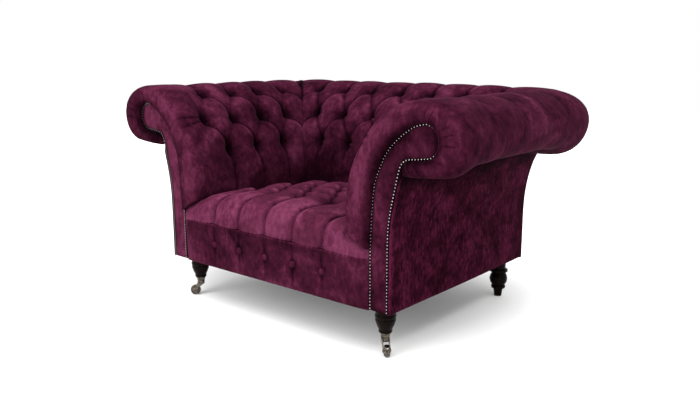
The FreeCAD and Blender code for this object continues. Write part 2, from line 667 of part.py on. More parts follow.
def springs():
    """Sinuous springs from the front rail to the back rail, with a clip at each end."""
    z = L["rail_top"] + S["spring_rise"]
    start = L["board_y"] + 2 * S["soft_gap"] + S["front_rail"] / 2
    end = L["back_core_y"] - S["front_rail"] / 2
    runs = int((end - start) / S["spring_step"]) // 2 * 2
    step = (end - start) / runs
    half, bend = S["spring_width"] / 2, step / 2
    made, clips = [], []
    for k in range(int(S["spring_count"])):
        x = (k - (S["spring_count"] - 1) / 2) * S["spring_spacing"]
        edges = []
        for run in range(runs + 1):
            y, way = start + run * step, 1 if run % 2 == 0 else -1
            low, high = V(x - way * half, y, z), V(x + way * half, y, z)
            edges.append(Part.LineSegment(low, high).toShape())
            if run < runs:
                edges.append(Part.Arc(high, high + V(way * bend, bend, 0), high + V(0, step, 0)).toShape())
        path = Part.Wire(edges)
        ring = Part.makeCircle(S["spring_wire"] / 2, V(x - half, start, z), X_AXIS)
        made.append(path.makePipeShell([Part.Wire([ring])], True, False))
        for y in (start, end):
            clips.append(spring_clip(V(x, y, z)))
    solid("seat_springs", Part.makeCompound(made))
    solid("spring_clips", Part.makeCompound(clips))


def spring_clip(at):
    """A block that holds a spring's end run down on its rail."""
    wide, tall = S["spring_clip"], at.z - L["rail_top"] + S["spring_wire"]
    block = Part.makeBox(2 * wide, wide, tall, V(at.x - wide, at.y - wide / 2, L["rail_top"]))
    bore = Part.makeCylinder(S["spring_wire"] / 2 + S["fit_gap"], 4 * wide, at - X_AXIS * (2 * wide), X_AXIS)
    return block.cut(bore)


def seat_hessian():
    low = "Layout.border_top - Sizes.hessian"
    bar("seat_hessian", ("-(Layout.core_in - Sizes.soft_gap)", "Layout.core_in - Sizes.soft_gap"),
        ("Layout.board_y + 2 * Sizes.soft_gap", "Layout.core_in + Layout.back_shift - Sizes.soft_gap"),
        (low, "Layout.border_top"))


def hessian_strip(place):
    """Section of the sheet that backs a tufted pad, from its tack rail to the top rail."""
    outer, bows = core_outline(-S["soft_gap"] / 2)
    inner = core_outline(-S["soft_gap"] / 2 - S["hessian"])[0]
    outer, inner = outer[:6], inner[:6]
    outer[0] = V(outer[0].x, 0, L["tack_low"])
    inner[0] = V(inner[0].x, 0, L["tack_low"])
    back_bows = [-easing(inner[4], inner[5], X_AXIS)]
    back_bows += [-S["core_sag"] * (inner[k] - inner[k - 1]).Length for k in (4, 3, 2)]
    return outline(outer + inner[::-1], bows[:5] + [0] + back_bows + [0, 0], place)


def side_hessians():
    strip = Part.Face(hessian_strip(on_arm(L["post_y"])))
    sheet = strip.extrude(Y_AXIS * (L["axis_y"] - L["post_y"])).cut(corner_wedge())
    solid("right_arm_hessian", sheet)
    solid("left_arm_hessian", mirrored(sheet))
    strip = Part.Face(hessian_strip(on_back(-L["axis_x"])))
    sheet = strip.extrude(X_AXIS * (2 * L["axis_x"]))
    sheet = sheet.cut(back_wedge()).cut(mirrored(back_wedge()))
    solid("back_hessian", sheet)


# Padded pieces

# Bead at the front of an arm pad: share of the bulge in front of the facing, then how far
# the outer and the inner face are drawn in there.
BEAD = [(1.0, 0.36, 0.30), (0.6, 0.17, 0.14), (0.0, 0.05, 0.04), (-1.0, 0.0, 0.0)]
# Nosing of the seat: share of the bulge, share of the pleats' depth, share of the height lost.
NOSING = [(1.0, 0.5, 1.0), (0.5, 1.0, 0.45), (-1.0, 1.0, 0.1)]


def arm_pads():
    """Tufted arm pads: a bead round the facing, then pillows between the button columns."""
    stations = [(L["facing_y"] - share * S["front_bulge"], PLAIN, outer, inner)
                for share, outer, inner in BEAD]
    stations += [(y, rows, 0.0, 0.0) for y, rows in arm_columns()]
    stations.append((L["axis_y"] - S["soft_gap"], PLAIN, 0.0, 0.0))
    wires = [pad_section(rows, ARM_END_X, a, b, on_arm(y)) for y, rows, a, b in stations]
    pad = Part.makeLoft(wires, True, True).cut(corner_wedge())
    solid("right_arm_pad", pad)
    solid("left_arm_pad", mirrored(pad))


def back_pad():
    columns = [(-L["axis_x"] + S["soft_gap"], PLAIN)] + back_columns()
    columns.append((L["axis_x"] - S["soft_gap"], PLAIN))
    wires = [pad_section(rows, BACK_END_X, 0.0, 0.0, on_back(x)) for x, rows in columns]
    pad = Part.makeLoft(wires, True, True)
    solid("back_pad", pad.cut(back_wedge()).cut(mirrored(back_wedge())))


def corner_pads():
    """The roll carried round the rear corners."""
    section = Part.Face(pad_section(PLAIN, ARM_END_X, 0.0, 0.0, on_arm(L["axis_y"])))
    reach = 2 * S["corner_radius"]
    window = Part.makeBox(reach, reach, 2 * S["overall_height"],
                          V(L["axis_x"] + S["soft_gap"], L["axis_y"] - reach / 2, 0))
    face = section.common(window).Faces[0]
    pad = face.revolve(V(L["axis_x"], L["axis_y"], 0), Z_AXIS, 90)
    solid("right_corner_pad", pad)
    solid("left_corner_pad", mirrored(pad))


def seat_edge(x, y):
    """Crest height of the seat, falling towards the arms, the back and the rounded front."""
    side = (x / L["seat_half"]) ** 2 * S["seat_side_drop"]
    depth = (y - L["facing_y"]) / (L["seat_rear"] - L["facing_y"])
    rear = max(0.0, depth) ** 2 * S["seat_rear_drop"]
    return L["seat_crown"] - side - rear


def seat_columns():
    """Half-pitch places across the seat and its front border, even and odd in turn."""
    half_pitch = S["seat_pitch"] / 2
    count = int((L["seat_half"] - half_pitch / 3) / half_pitch)
    return [(k * half_pitch, "odd" if k % 2 else "even") for k in range(-count, count + 1)]


def seat_wire(y, pits, depth, drop):
    """Seat section: a flat deck with wings under the arm pads and a scalloped top."""
    top = [V(-L["seat_half"], y, seat_edge(L["seat_half"], y) - drop)]
    for x, turn in seat_columns():
        low = depth if turn == pits else 0.0
        top.append(V(x, y, seat_edge(x, y) - drop - low))
    top.append(V(L["seat_half"], y, seat_edge(L["seat_half"], y) - drop))
    deck = L["border_top"] + S["soft_gap"]
    wing_x, wing_z = L["core_in"] - 2 * S["soft_gap"], deck + S["seat_wing"] - 2 * S["soft_gap"]
    edges = []
    for start, end in zip(top, top[1:]):
        middle = (start + end) * 0.5 + Z_AXIS * S["seat_bow"]
        edges.append(Part.Arc(start, middle, end).toShape())
    right = [top[-1], V(L["seat_half"], y, wing_z), V(wing_x, y, wing_z), V(wing_x, y, deck)]
    left = [V(-p.x, p.y, p.z) for p in right[::-1]]
    rim = right + left
    for start, end in zip(rim, rim[1:]):
        edges.append(Part.LineSegment(start, end).toShape())
    return Part.Wire(edges)


def seat_rows():
    """Places of the rows of seat buttons and which columns they take."""
    first = L["facing_y"] + S["seat_first_row"]
    count = int((L["seat_rear"] - S["seat_row_pitch"] / 2 - first) / S["seat_row_pitch"])
    return [(first + k * S["seat_row_pitch"], "odd" if k % 2 else "even") for k in range(count + 1)]


def seat_pad():
    stations = [(L["facing_y"] - share * S["front_bulge"], "even", pleat * S["nosing_pleat"],
                 lost * S["nosing_round"]) for share, pleat, lost in NOSING]
    stations += [(y, pits, S["seat_tuft"], 0.0) for y, pits in seat_rows()]
    stations.append((L["seat_rear"], None, 0.0, 0.0))
    wires = [seat_wire(*station) for station in stations]
    solid("seat_pad", Part.makeLoft(wires, True, True))


def front_border():
    """Padded band under the seat, drawn in along its pleats."""
    low, high = S["base_clearance"], L["border_top"]
    back, face = L["board_y"] + S["soft_gap"], L["facing_y"] - S["border_proud"]
    edge = L["core_in"] - S["soft_gap"]
    wires = []
    for x, turn in [(-edge, "end")] + seat_columns() + [(edge, "end")]:
        y = face + (S["border_pleat"] if turn == "even" else 0)
        bow = V(x, y - S["border_bow"], (low + high) / 2)
        corners = [V(x, back, low), V(x, y, low), V(x, y, high), V(x, back, high)]
        wires.append(Part.Wire([
            Part.LineSegment(corners[0], corners[1]).toShape(),
            Part.Arc(corners[1], bow, corners[2]).toShape(),
            Part.LineSegment(corners[2], corners[3]).toShape(),
            Part.LineSegment(corners[3], corners[0]).toShape(),
        ]))
    solid("front_border", Part.makeLoft(wires, True, True))


def all_buttons():
    room = 2 * S["button_radius"]
    arm = []
    for y, rows in arm_columns():
        for row in rows:
            at = pit(row)
            if y < at.x + L["back_shift"] - room:
                arm.append((V(at.x, y, at.z), ROWS[row][1]))
    solid("right_arm_buttons", buttons(arm))
    solid("left_arm_buttons", mirrored(buttons(arm)))
    back = []
    for x, rows in back_columns():
        for row in rows:
            at = pit(row)
            if abs(x) < at.x - room:
                into = ROWS[row][1]
                back.append((V(x, at.x + L["back_shift"], at.z), V(0, into.x, into.z)))
    solid("back_buttons", buttons(back))
    seat = []
    for y, pits in seat_rows():
        for x, turn in seat_columns():
            if turn == pits:
                seat.append((V(x, y, seat_edge(x, y) - S["seat_tuft"]), Z_AXIS * -1))
    solid("seat_buttons", buttons(seat))
    face = L["facing_y"] - S["border_proud"] + S["border_pleat"] - S["border_bow"]
    border = [(V(x, face, S["base_clearance"] + S["border_button_rise"]), Y_AXIS)
              for x, turn in seat_columns() if turn == "even"]
    solid("border_buttons", buttons(border))


# Covers and trim

def facing_panels():
    points, bows = core_outline(0)
    panel = Part.Face(outline(points, bows, on_arm(L["facing_y"]))).extrude(Y_AXIS * S["facing_panel"])
    solid("right_facing_panel", panel)
    solid("left_facing_panel", mirrored(panel))


def facing_nails():
    """Dome nails along the edge of each facing, open at its foot."""
    points, bows = core_outline(-S["nail_inset"])
    points[0] = points[0] + Z_AXIS * S["nail_inset"]
    points[-1] = points[-1] + Z_AXIS * S["nail_inset"]
    edges = [bowed(points[k], points[k + 1], bows[k]).toShape() for k in range(len(points) - 1)]
    line = Part.Wire(edges)
    count = int(line.Length / S["nail_pitch"]) + 1
    head = dome(S["nail_radius"], S["nail_height"])
    head.rotate(V(0, 0, 0), X_AXIS, 90)
    made = []
    for place in line.discretize(Number=count):
        nail = head.copy()
        nail.translate(V(place.x, L["facing_y"], place.z))
        made.append(nail)
    group = Part.makeCompound(made)
    solid("right_facing_nails", group)
    solid("left_facing_nails", mirrored(group))


def outside_panels():
    gap = S["soft_gap"]
    foot, top = S["base_clearance"], L["panel_top"]
    shoulder = foot + S["panel_straight"]
    inner_x, inner_top = L["core_out"] + gap, L["core_out"] + S["neck_lean"] + gap
    outer_top = V(L["base_x"] + S["panel_flare"], 0, top)
    outer_low = V(L["base_x"], 0, shoulder)
    inner_high = V(inner_top, 0, top)
    inner_low = V(inner_x, 0, L["pad_bottom"])
    points = [V(inner_x, 0, foot), inner_low, inner_high, outer_top, outer_low, V(L["base_x"], 0, foot)]
    hollow = S["core_sag"] * (inner_high - inner_low).Length
    bow = S["panel_sag"] * (outer_top - outer_low).Length
    section = Part.Face(outline(points, [0, -hollow, 0, bow, 0, 0], on_arm(L["facing_y"])))
    panel = section.extrude(Y_AXIS * (L["back_core_y"] - L["facing_y"]))
    solid("right_outside_panel", panel)
    solid("left_outside_panel", mirrored(panel))
    flat = [outer_top, outer_low, V(L["base_x"], 0, foot)]
    flat += [V(-p.x, 0, p.z) for p in flat[::-1]]
    face = Part.Face(outline(flat, [bow, 0, 0, 0, bow, 0], on_arm(L["back_core_y"])))
    solid("outside_back_panel", face.extrude(Y_AXIS * S["outside_panel"]))


def dust_cover():
    """Cambric under the seat frame, notched round the legs."""
    low = "Sizes.base_clearance - Sizes.dust_sheet"
    sheet = bar("dust_cover_blank", ("-Layout.core_out", "Layout.core_out"),
                ("Layout.board_y", "Layout.back_core_y"), (low, CLEAR), False)
    wide = ("Layout.core_out - Sizes.dust_notch", "Layout.core_out + Sizes.dust_notch")
    deep = (f"{low} - Sizes.dust_sheet", f"{CLEAR} + Sizes.dust_sheet")
    ends = {
        "front": ("Layout.board_y - Sizes.dust_notch", "Layout.board_y + Sizes.dust_notch"),
        "rear": ("Layout.back_core_y - Sizes.dust_notch", "Layout.back_core_y + Sizes.dust_notch"),
    }
    notches = []
    for side, sign in (("left", -1), ("right", 1)):
        for end, y in ends.items():
            notches.append(bar(f"dust_notch_{end}_{side}", sided(wide, sign), y, deep, False))
    drilled("dust_cover", sheet, *notches)


# Legs

def front_legs():
    end, ring = "Sizes.leg_end_z", "Sizes.base_clearance - Sizes.leg_top"
    hole = "Sizes.base_clearance - Sizes.bolt_in_leg - Sizes.fit_gap"
    low_ring = f"{end} + Sizes.leg_step"
    corners = [
        ("0", f"{end} - Sizes.tenon_length"),
        ("Sizes.tenon_radius", f"{end} - Sizes.tenon_length"),
        ("Sizes.tenon_radius", end),
        ("Sizes.cup_rim", end),
        ("Sizes.leg_ankle", low_ring, "Sizes.leg_foot_ring - Sizes.leg_ankle"),
        ("Sizes.leg_ankle", f"{low_ring} + Sizes.leg_foot_ring_height", "Sizes.leg_swell"),
        ("Sizes.leg_vase", f"{ring} - Sizes.leg_ring_height - Sizes.leg_vase_drop", "Sizes.leg_swell"),
        ("Sizes.leg_neck", f"{ring} - Sizes.leg_ring_height - Sizes.leg_step"),
        ("Sizes.leg_neck", f"{ring} - Sizes.leg_ring_height"),
        ("Sizes.leg_collar", f"{ring} - Sizes.leg_ring_height", "Sizes.leg_ring - Sizes.leg_collar"),
        ("Sizes.leg_collar", ring),
        ("Sizes.leg_collar", CLEAR),
        (LEG_HOLE, CLEAR),
        (LEG_HOLE, hole),
        ("0", hole),
    ]
    for side, sign in (("left", -1), ("right", 1)):
        turned(f"front_{side}_leg", corners, f"{sign} * Layout.leg_x", "Layout.front_leg_y")


def rear_legs():
    foot = "Sizes.rear_foot_height"
    collar = f"{foot} + Sizes.rear_collar_height"
    ball = f"{collar} + Sizes.rear_ball_height"
    ring_low = f"{ball} + Sizes.rear_neck_height"
    ring = f"{ring_low} + Sizes.rear_ring_height"
    hole = "Sizes.base_clearance - Sizes.bolt_in_leg - Sizes.fit_gap"
    corners = [
        ("0", "0"),
        ("Sizes.rear_foot", "0"),
        ("Sizes.rear_foot_top", foot),
        ("Sizes.rear_neck", foot, "Sizes.rear_collar - Sizes.rear_neck"),
        ("Sizes.rear_neck", collar, "Sizes.rear_ball - Sizes.rear_neck"),
        ("Sizes.rear_neck", ball),
        ("Sizes.rear_neck", ring_low),
        ("Sizes.rear_ring - Sizes.rear_ring_swell", ring_low, "Sizes.rear_ring_swell"),
        ("Sizes.rear_ring - Sizes.rear_ring_swell", ring),
        ("Sizes.rear_neck", ring),
        ("Sizes.rear_top", CLEAR),
        (LEG_HOLE, CLEAR),
        (LEG_HOLE, hole),
        ("0", hole),
    ]
    for side, sign in (("left", -1), ("right", 1)):
        turned(f"rear_{side}_leg", corners, f"{sign} * Layout.leg_x", "Layout.rear_leg_y")


def leg_bolts():
    made = []
    for sign in (-1, 1):
        for y in (L["front_leg_y"], L["rear_leg_y"]):
            start = V(sign * L["leg_x"], y, S["base_clearance"] - S["bolt_in_leg"])
            made.append(Part.makeCylinder(S["bolt_radius"], S["bolt_in_leg"] + S["bolt_in_post"], start))
    solid("leg_bolts", Part.makeCompound(made))


# Castors

def castors():
    for side, sign in (("left", -1), ("right", 1)):
        x, y = f"{sign} * Layout.leg_x", "Layout.front_leg_y"
        cup(side, x, y)
        pin(side, x, y)
        horn(side, sign)


def cup(side, x, y):
    bore, deep = "Sizes.tenon_radius + Sizes.fit_gap", "Layout.cup_bottom + Sizes.cup_floor"
    hole = "Sizes.pin_radius"
    corners = [
        (hole, "Layout.cup_bottom"),
        ("Sizes.cup_base", "Layout.cup_bottom"),
        ("Sizes.cup_rim - Sizes.cup_lip", "Sizes.leg_end_z - Sizes.cup_band - Sizes.cup_lip"),
        ("Sizes.cup_rim", "Sizes.leg_end_z - Sizes.cup_band"),
        ("Sizes.cup_rim", "Sizes.leg_end_z"),
        (bore, "Sizes.leg_end_z"),
        (bore, deep),
        (hole, deep),
    ]
    turned(f"{side}_castor_cup", corners, x, y)


def pin(side, x, y):
    head_top = "Layout.hub_bottom - Sizes.swivel_gap"
    head_low = f"{head_top} - Sizes.pin_head_depth"
    top = "Layout.cup_bottom + Sizes.cup_floor"
    corners = [
        ("0", head_low),
        ("Sizes.pin_head", head_low),
        ("Sizes.pin_head", head_top),
        ("Sizes.pin_radius", head_top),
        ("Sizes.pin_radius", top),
        ("0", top),
    ]
    turned(f"{side}_castor_pin", corners, x, y)


def horn(side, sign):
    """Horn, axle and wheel, made with the axle along +X of the pin and turned to the rest direction."""
    trail, axle_z, gap = S["castor_trail"], S["wheel_radius"], S["wheel_gap"]
    slot, across = S["wheel_width"] + 2 * gap, S["wheel_width"] + 2 * gap + 2 * S["cheek"]
    boss, hub = S["cheek_boss"], S["hub_radius"]
    top, low = L["hub_top"], L["hub_bottom"]
    points = [
        V(-hub, 0, top), V(hub, 0, top), V(trail + boss, 0, (top + axle_z) / 2),
        V(trail + boss, 0, axle_z), V(trail - boss, 0, axle_z), V(-hub, 0, low),
    ]
    bows = [0, S["horn_bow"], 0, boss * NEAR_HALF, 0, 0]
    cheeks = Part.Face(outline(points, bows, on_arm(-across / 2))).extrude(Y_AXIS * across)
    room = S["wheel_radius"] + gap
    well = Part.makeCylinder(room, slot, V(trail, -slot / 2, axle_z), Y_AXIS)
    below = Part.makeBox(4 * trail, slot, low - S["swivel_gap"], V(-2 * trail, -slot / 2, 0))
    head = Part.makeCylinder(S["pin_head"] + S["wheel_gap"], low, V(0, 0, 0))
    bore = Part.makeCylinder(S["pin_radius"] + S["fit_gap"], 2 * top)
    pivot = Part.makeCylinder(S["axle_radius"], 2 * across, V(trail, -across, axle_z), Y_AXIS)
    fork = cheeks.cut(well).cut(below).cut(head).cut(bore).cut(pivot).removeSplitter()
    axle = Part.makeCylinder(S["axle_radius"], across, V(trail, -across / 2, axle_z), Y_AXIS)
    wheel = Part.makeCylinder(S["wheel_radius"], S["wheel_width"],
                              V(trail, -S["wheel_width"] / 2, axle_z), Y_AXIS)
    rims = [e for e in wheel.Edges if isinstance(e.Curve, Part.Circle)]
    wheel = wheel.makeFillet(S["wheel_edge"], rims)
    wheel = wheel.cut(Part.makeCylinder(S["axle_radius"] + S["fit_gap"], 2 * across,
                                        V(trail, -across, axle_z), Y_AXIS))
    ahead = -90 + sign * S["castor_angle"]
    turn = FreeCAD.Placement(V(sign * L["leg_x"], L["front_leg_y"], 0), FreeCAD.Rotation(Z_AXIS, ahead))
    for name, shape in (("horn", fork), ("axle", axle), ("wheel", wheel)):
        solid(f"{side}_castor_{name}", shape).Placement = turn


def build():
    seat_frame()
    posts()
    tack_rails()
    top_rails()
    corner_blocks()
    facing_boards()
    frame_screws()
    springs()
    seat_hessian()
    side_hessians()
    arm_pads()
    back_pad()
    corner_pads()
    seat_pad()
    front_border()
    all_buttons()
    facing_panels()
    facing_nails()
    outside_panels()
    dust_cover()
    front_legs()
    rear_legs()
    leg_bolts()
    castors()
    doc.recompute()


def check():
    """Stops if any object failed or any sub-part's shape is not sound."""
    for obj in doc.Objects:
        bad = [word for word in obj.State if word in ("Invalid", "Error")]
        if bad:
            raise RuntimeError(f"{obj.Label}: {bad}")
    for obj in nodes:
        if obj.Shape.isNull() or not obj.Shape.isValid() or not obj.Shape.Solids:
            raise RuntimeError(f"{obj.Label}: its shape is not sound")


def write():
    os.makedirs("parts", exist_ok=True)
    for obj in nodes:
        obj.Shape.exportStep(f"parts/{obj.Label}.step")
    print(len(nodes), "sub-parts")


build()
check()
write()
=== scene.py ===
"""Scroll-arm deep-buttoned armchair: velvet cover, trim, turned legs, castors and studio round its frame."""

import math
from collections import namedtuple

import bmesh
import bpy
import numpy as np
from bpy.props import FloatProperty, FloatVectorProperty, IntProperty, PointerProperty
from bpy.types import Operator, Panel, PropertyGroup
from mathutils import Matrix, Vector
from mathutils.geometry import delaunay_2d_cdt


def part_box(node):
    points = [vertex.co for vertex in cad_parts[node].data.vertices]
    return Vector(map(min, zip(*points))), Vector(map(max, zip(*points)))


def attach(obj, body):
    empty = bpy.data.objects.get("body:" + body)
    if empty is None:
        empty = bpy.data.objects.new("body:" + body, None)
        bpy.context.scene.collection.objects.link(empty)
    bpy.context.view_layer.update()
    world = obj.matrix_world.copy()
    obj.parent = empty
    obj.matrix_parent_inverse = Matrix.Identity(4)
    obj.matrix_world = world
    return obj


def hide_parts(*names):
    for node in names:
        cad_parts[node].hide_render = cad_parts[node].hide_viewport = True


bl_info = {
    "name": "Scroll-arm buttoned armchair",
    "version": (1, 0, 0),
    "blender": (4, 5, 0),
    "location": "3D Viewport > Sidebar > Armchair",
    "description": "Builds the velvet cover, nail trim, turned legs and castors of a buttoned armchair",
    "category": "Object",
}

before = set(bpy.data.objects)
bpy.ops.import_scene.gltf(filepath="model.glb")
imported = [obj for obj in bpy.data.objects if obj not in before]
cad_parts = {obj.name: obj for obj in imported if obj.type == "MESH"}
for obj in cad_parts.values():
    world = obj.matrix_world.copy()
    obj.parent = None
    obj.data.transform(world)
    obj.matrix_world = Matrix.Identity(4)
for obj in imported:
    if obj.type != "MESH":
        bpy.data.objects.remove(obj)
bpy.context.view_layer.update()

# Lines of the frame that the cover follows, in metres; depth is measured back from the facings
FACING_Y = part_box("right_facing_panel")[0].y
BASE_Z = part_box("front_border")[0].z
SEAM_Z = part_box("front_border")[1].z
BACK_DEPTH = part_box("outside_back_panel")[1].y - FACING_Y
BACK_CORE_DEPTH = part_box("outside_back_panel")[0].y - FACING_Y
BOARD_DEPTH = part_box("right_facing_board")[0].y - FACING_Y
BORDER_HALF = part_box("front_border")[1].x

# Section of the padded roll: crest line and the core line behind it, as (out from the middle, up)
CREST = ((0.3375, 0.385), (0.331, 0.445), (0.345, 0.526), (0.364, 0.582), (0.394, 0.632),
         (0.427, 0.679), (0.470, 0.716), (0.527, 0.750))
CORE = ((0.413, 0.350), (0.4175, 0.438), (0.427, 0.526), (0.446, 0.575), (0.469, 0.619),
        (0.5005, 0.6535), (0.535, 0.680), (0.563, 0.6965))
ROW_HEIGHTS = (0.540, 0.648, 0.740)
CROWN_NODE = 8
SPLINE_STEPS = 24
CREST_PASSES = 40
CORE_PASSES = 12
UPPER_DEGREES = (90.0, 67.5, 45.0, 22.5, 0.0)
LOWER_DEGREES = (-22.5, -45.0, -67.5, -90.0)
EYE = (0.595, 0.653)
EYE_RADIUS = 0.051
ROLL_CENTRE = (0.592, 0.660)
ROLL_SIZE = (0.145, 0.102)
UNDER_CENTRE = (0.640, 0.660)
UNDER_SIZE = (0.097, 0.108)
ARM_END = ((0.585, 0.549), (0.566, 0.5485), (0.549, 0.5485), (0.535, 0.549), (0.524, 0.550))
ARM_CORE_END = ((0.556, 0.597), (0.545, 0.596), (0.536, 0.5925), (0.529, 0.587), (0.524, 0.580))
BACK_END = ((0.5955, 0.552),)
BACK_CORE_END = ((0.575, 0.600),)

# The two rear corners turn about an upright axis; the mitre plane stands at 45 degrees through it
AXIS_X = 0.491
MITRE = 0.195
CORNER_TURN = math.pi / 4
CORNER_SPREAD = 0.055

# Button lattice
ARM_FIRST = 0.104
ROLL_HALF_PITCH = 0.069
SEAT_HALF_PITCH = 0.061
SEAT_FIRST = 0.160
SEAT_ROW_PITCH = 0.095
SEAT_ROWS = 4
SEAT_BUTTONS = [(k * SEAT_HALF_PITCH, SEAT_FIRST + row * SEAT_ROW_PITCH)
                for row in range(SEAT_ROWS) for k in range(-5, 6) if (k + row) % 2 == 0]
BORDER_ROW = 0.238
BORDER_BUTTONS = [(k * SEAT_HALF_PITCH, BORDER_ROW) for k in range(-4, 5, 2)]

# Main body, the two sides with their sign across the chair, and the smallest length that counts
BODY = "chair"
SIDES = (("right", 1), ("left", -1))
TINY = 1e-6

Section = namedtuple("Section", "crest inward core along rows crown")


# Lines and grids

def smooth_step(value, low, high):
    share = np.clip((value - low) / (high - low), 0.0, 1.0)
    return share * share * (3.0 - 2.0 * share)


def spline(nodes, steps=SPLINE_STEPS):
    """Smooth line through the nodes, with the same number of points between each two."""
    nodes = np.asarray(nodes, float)
    ends = np.vstack((2 * nodes[0] - nodes[1], nodes, 2 * nodes[-1] - nodes[-2]))
    share = np.linspace(0.0, 1.0, steps, endpoint=False)[:, None]
    runs = []
    for a, b, c, d in zip(ends, ends[1:], ends[2:], ends[3:]):
        first = (c - a) * share
        second = (2 * a - 5 * b + 4 * c - d) * share ** 2
        third = (3 * b - a - 3 * c + d) * share ** 3
        runs.append(0.5 * (2 * b + first + second + third))
    return np.vstack(runs + [nodes[-1:]])


def run_length(points):
    return np.concatenate(([0.0], np.cumsum(np.linalg.norm(np.diff(points, axis=0), axis=1))))


def at_length(points, along, wanted):
    return np.stack([np.interp(wanted, along, column) for column in points.T], axis=1)


def evenly(points, step):
    """The same line with points a step apart."""
    along = run_length(points)
    count = max(int(round(along[-1] / step)), 2) + 1
    return at_length(points, along, np.linspace(0.0, along[-1], count))


def softened(points, passes):
    points = points.copy()
    for _ in range(passes):
        points[1:-1] = (points[:-2] + 2 * points[1:-1] + points[2:]) / 4
    return points


def circle_points(centre, size, degrees):
    angles = np.radians(degrees)
    return np.stack((centre[0] + size[0] * np.cos(angles), centre[1] + size[1] * np.sin(angles)), axis=1)


def grid_faces(index):
    """Quads between the neighbouring rows and columns of a grid of point numbers."""
    corners = (index[:-1, :-1], index[1:, :-1], index[1:, 1:], index[:-1, 1:])
    return np.stack(corners, axis=-1).reshape(-1, 4).tolist()


def numbered(rows, columns, start=0):
    return start + np.arange(rows * columns).reshape(rows, columns)


def band_faces(index):
    """Faces of a closed band: a grid, its first and last rows joined, and a cap on each end."""
    faces = grid_faces(index) + grid_faces(np.vstack((index[0], index[-1])))
    return faces + [index[:, 0].tolist(), index[:, -1].tolist()]


def ring_faces(index):
    """Faces of a closed tube of rings with a cap on each end."""
    faces = grid_faces(np.hstack((index, index[:, :1])))
    return faces + [index[0].tolist(), index[-1].tolist()]


def slab_faces(index):
    """Faces of a slab: an outer grid, an inner grid numbered on after it, and the rim between them."""
    inner = index + index.size
    faces = grid_faces(index) + grid_faces(inner)
    for end in (0, -1):
        faces += grid_faces(np.stack((index[:, end], inner[:, end]), axis=1))
        faces += grid_faces(np.stack((index[end], inner[end]), axis=1))
    return faces


def unit(directions):
    return directions / np.linalg.norm(directions, axis=1)[:, None]


def right_of(line):
    """Unit directions to the right of an open line."""
    slope = unit(np.gradient(line, axis=0))
    return np.stack((slope[:, 1], -slope[:, 0]), axis=1)


def left_of(loop):
    """Unit directions to the left of a closed loop, outward where it runs clockwise."""
    slope = unit(np.roll(loop, -1, axis=0) - np.roll(loop, 1, axis=0))
    return np.stack((-slope[:, 1], slope[:, 0]), axis=1)


def ripple(*waves):
    """Slow, fixed unevenness of stuffed cloth, between about -1 and 1."""
    return sum(np.sin(wave) for wave in waves) / len(waves)


# Pieces

def finish_mesh(mesh, sharp=None):
    """Merges doubles, turns the faces outward and shades them."""
    shape = bmesh.new()
    shape.from_mesh(mesh)
    bmesh.ops.remove_doubles(shape, verts=shape.verts, dist=TINY)
    bmesh.ops.recalc_face_normals(shape, faces=shape.faces)
    shape.to_mesh(mesh)
    shape.free()
    mesh.shade_smooth()
    if sharp is not None:
        mesh.set_sharp_from_angle(angle=math.radians(sharp))
    mesh.update()


def new_object(name, data):
    piece = bpy.data.objects.new(name, data)
    bpy.context.scene.collection.objects.link(piece)
    return piece


def new_piece(name, points, faces, material, sharp=None, painted_shading=None):
    mesh = bpy.data.meshes.new(name)
    mesh.from_pydata(np.asarray(points, float).tolist(), [], faces)
    # Optional painted shading per point: painted shade below 0, painted light above 0, read by the velvet's
    # colour
    if painted_shading is not None:
        painted_layer = mesh.attributes.new("painted_shading", "FLOAT", "POINT")
        painted_layer.data.foreach_set("value", np.asarray(painted_shading, float).ravel())
    finish_mesh(mesh, sharp)
    mesh.materials.append(material)
    return new_object(name, mesh)


def in_place(points):
    """Points as (across, depth behind the facings, up) to the frame's own axes."""
    points = np.asarray(points, float).reshape(-1, 3).copy()
    points[:, 1] += FACING_Y
    return points


def on_side(points, sign):
    """Points or directions of the right side, or mirrored to the left where the sign is -1."""
    return np.asarray(points) * (sign, 1, 1)


def hand_over(piece, body, slot, *nodes):
    """Puts a piece on its body and hides the nodes that it stands for."""
    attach(piece, body)
    if nodes:
        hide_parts(*nodes)


def lathe(name, profile, material, foot, axis=(0, 0, 1), segments=56, sharp=None):
    """Turned shape from (radius, height) points, about an axis that starts at its foot."""
    profile = np.asarray(profile, float)
    angles = np.linspace(0, 2 * math.pi, segments, endpoint=False)
    rings = np.stack((
        profile[:, 0, None] * np.cos(angles),
        profile[:, 0, None] * np.sin(angles),
        np.repeat(profile[:, 1, None], segments, axis=1),
    ), axis=-1)
    faces = ring_faces(numbered(len(profile), segments))
    turn = Vector((0, 0, 1)).rotation_difference(Vector(axis)).to_matrix()
    points = rings.reshape(-1, 3) @ np.array(turn).T + np.asarray(foot, float)
    return new_piece(name, points, faces, material, sharp)


def joined(name, pieces):
    """One mesh from several pieces of the same body."""
    shape = bmesh.new()
    materials = []
    for piece in pieces:
        start = len(shape.faces)
        shape.from_mesh(piece.data)
        shape.faces.ensure_lookup_table()
        material = piece.data.materials[0]
        if material not in materials:
            materials.append(material)
        for face in shape.faces[start:]:
            face.material_index = materials.index(material)
        old = piece.data
        bpy.data.objects.remove(piece)
        bpy.data.meshes.remove(old)
    mesh = bpy.data.meshes.new(name)
    shape.to_mesh(mesh)
    shape.free()
    for material in materials:
        mesh.materials.append(material)
    return new_object(name, mesh)


# Materials

def blank_material(name):
    """A new material's node tree and its shader."""
    material = bpy.data.materials.new(name)
    material.use_nodes = True
    tree = material.node_tree
    return material, tree, tree.nodes["Principled BSDF"]


def mapped(tree, stretch):
    place = tree.nodes.new("ShaderNodeTexCoord")
    mapping = tree.nodes.new("ShaderNodeMapping")
    mapping.inputs["Scale"].default_value = stretch
    tree.links.new(place.outputs["Object"], mapping.inputs["Vector"])
    return mapping.outputs["Vector"]


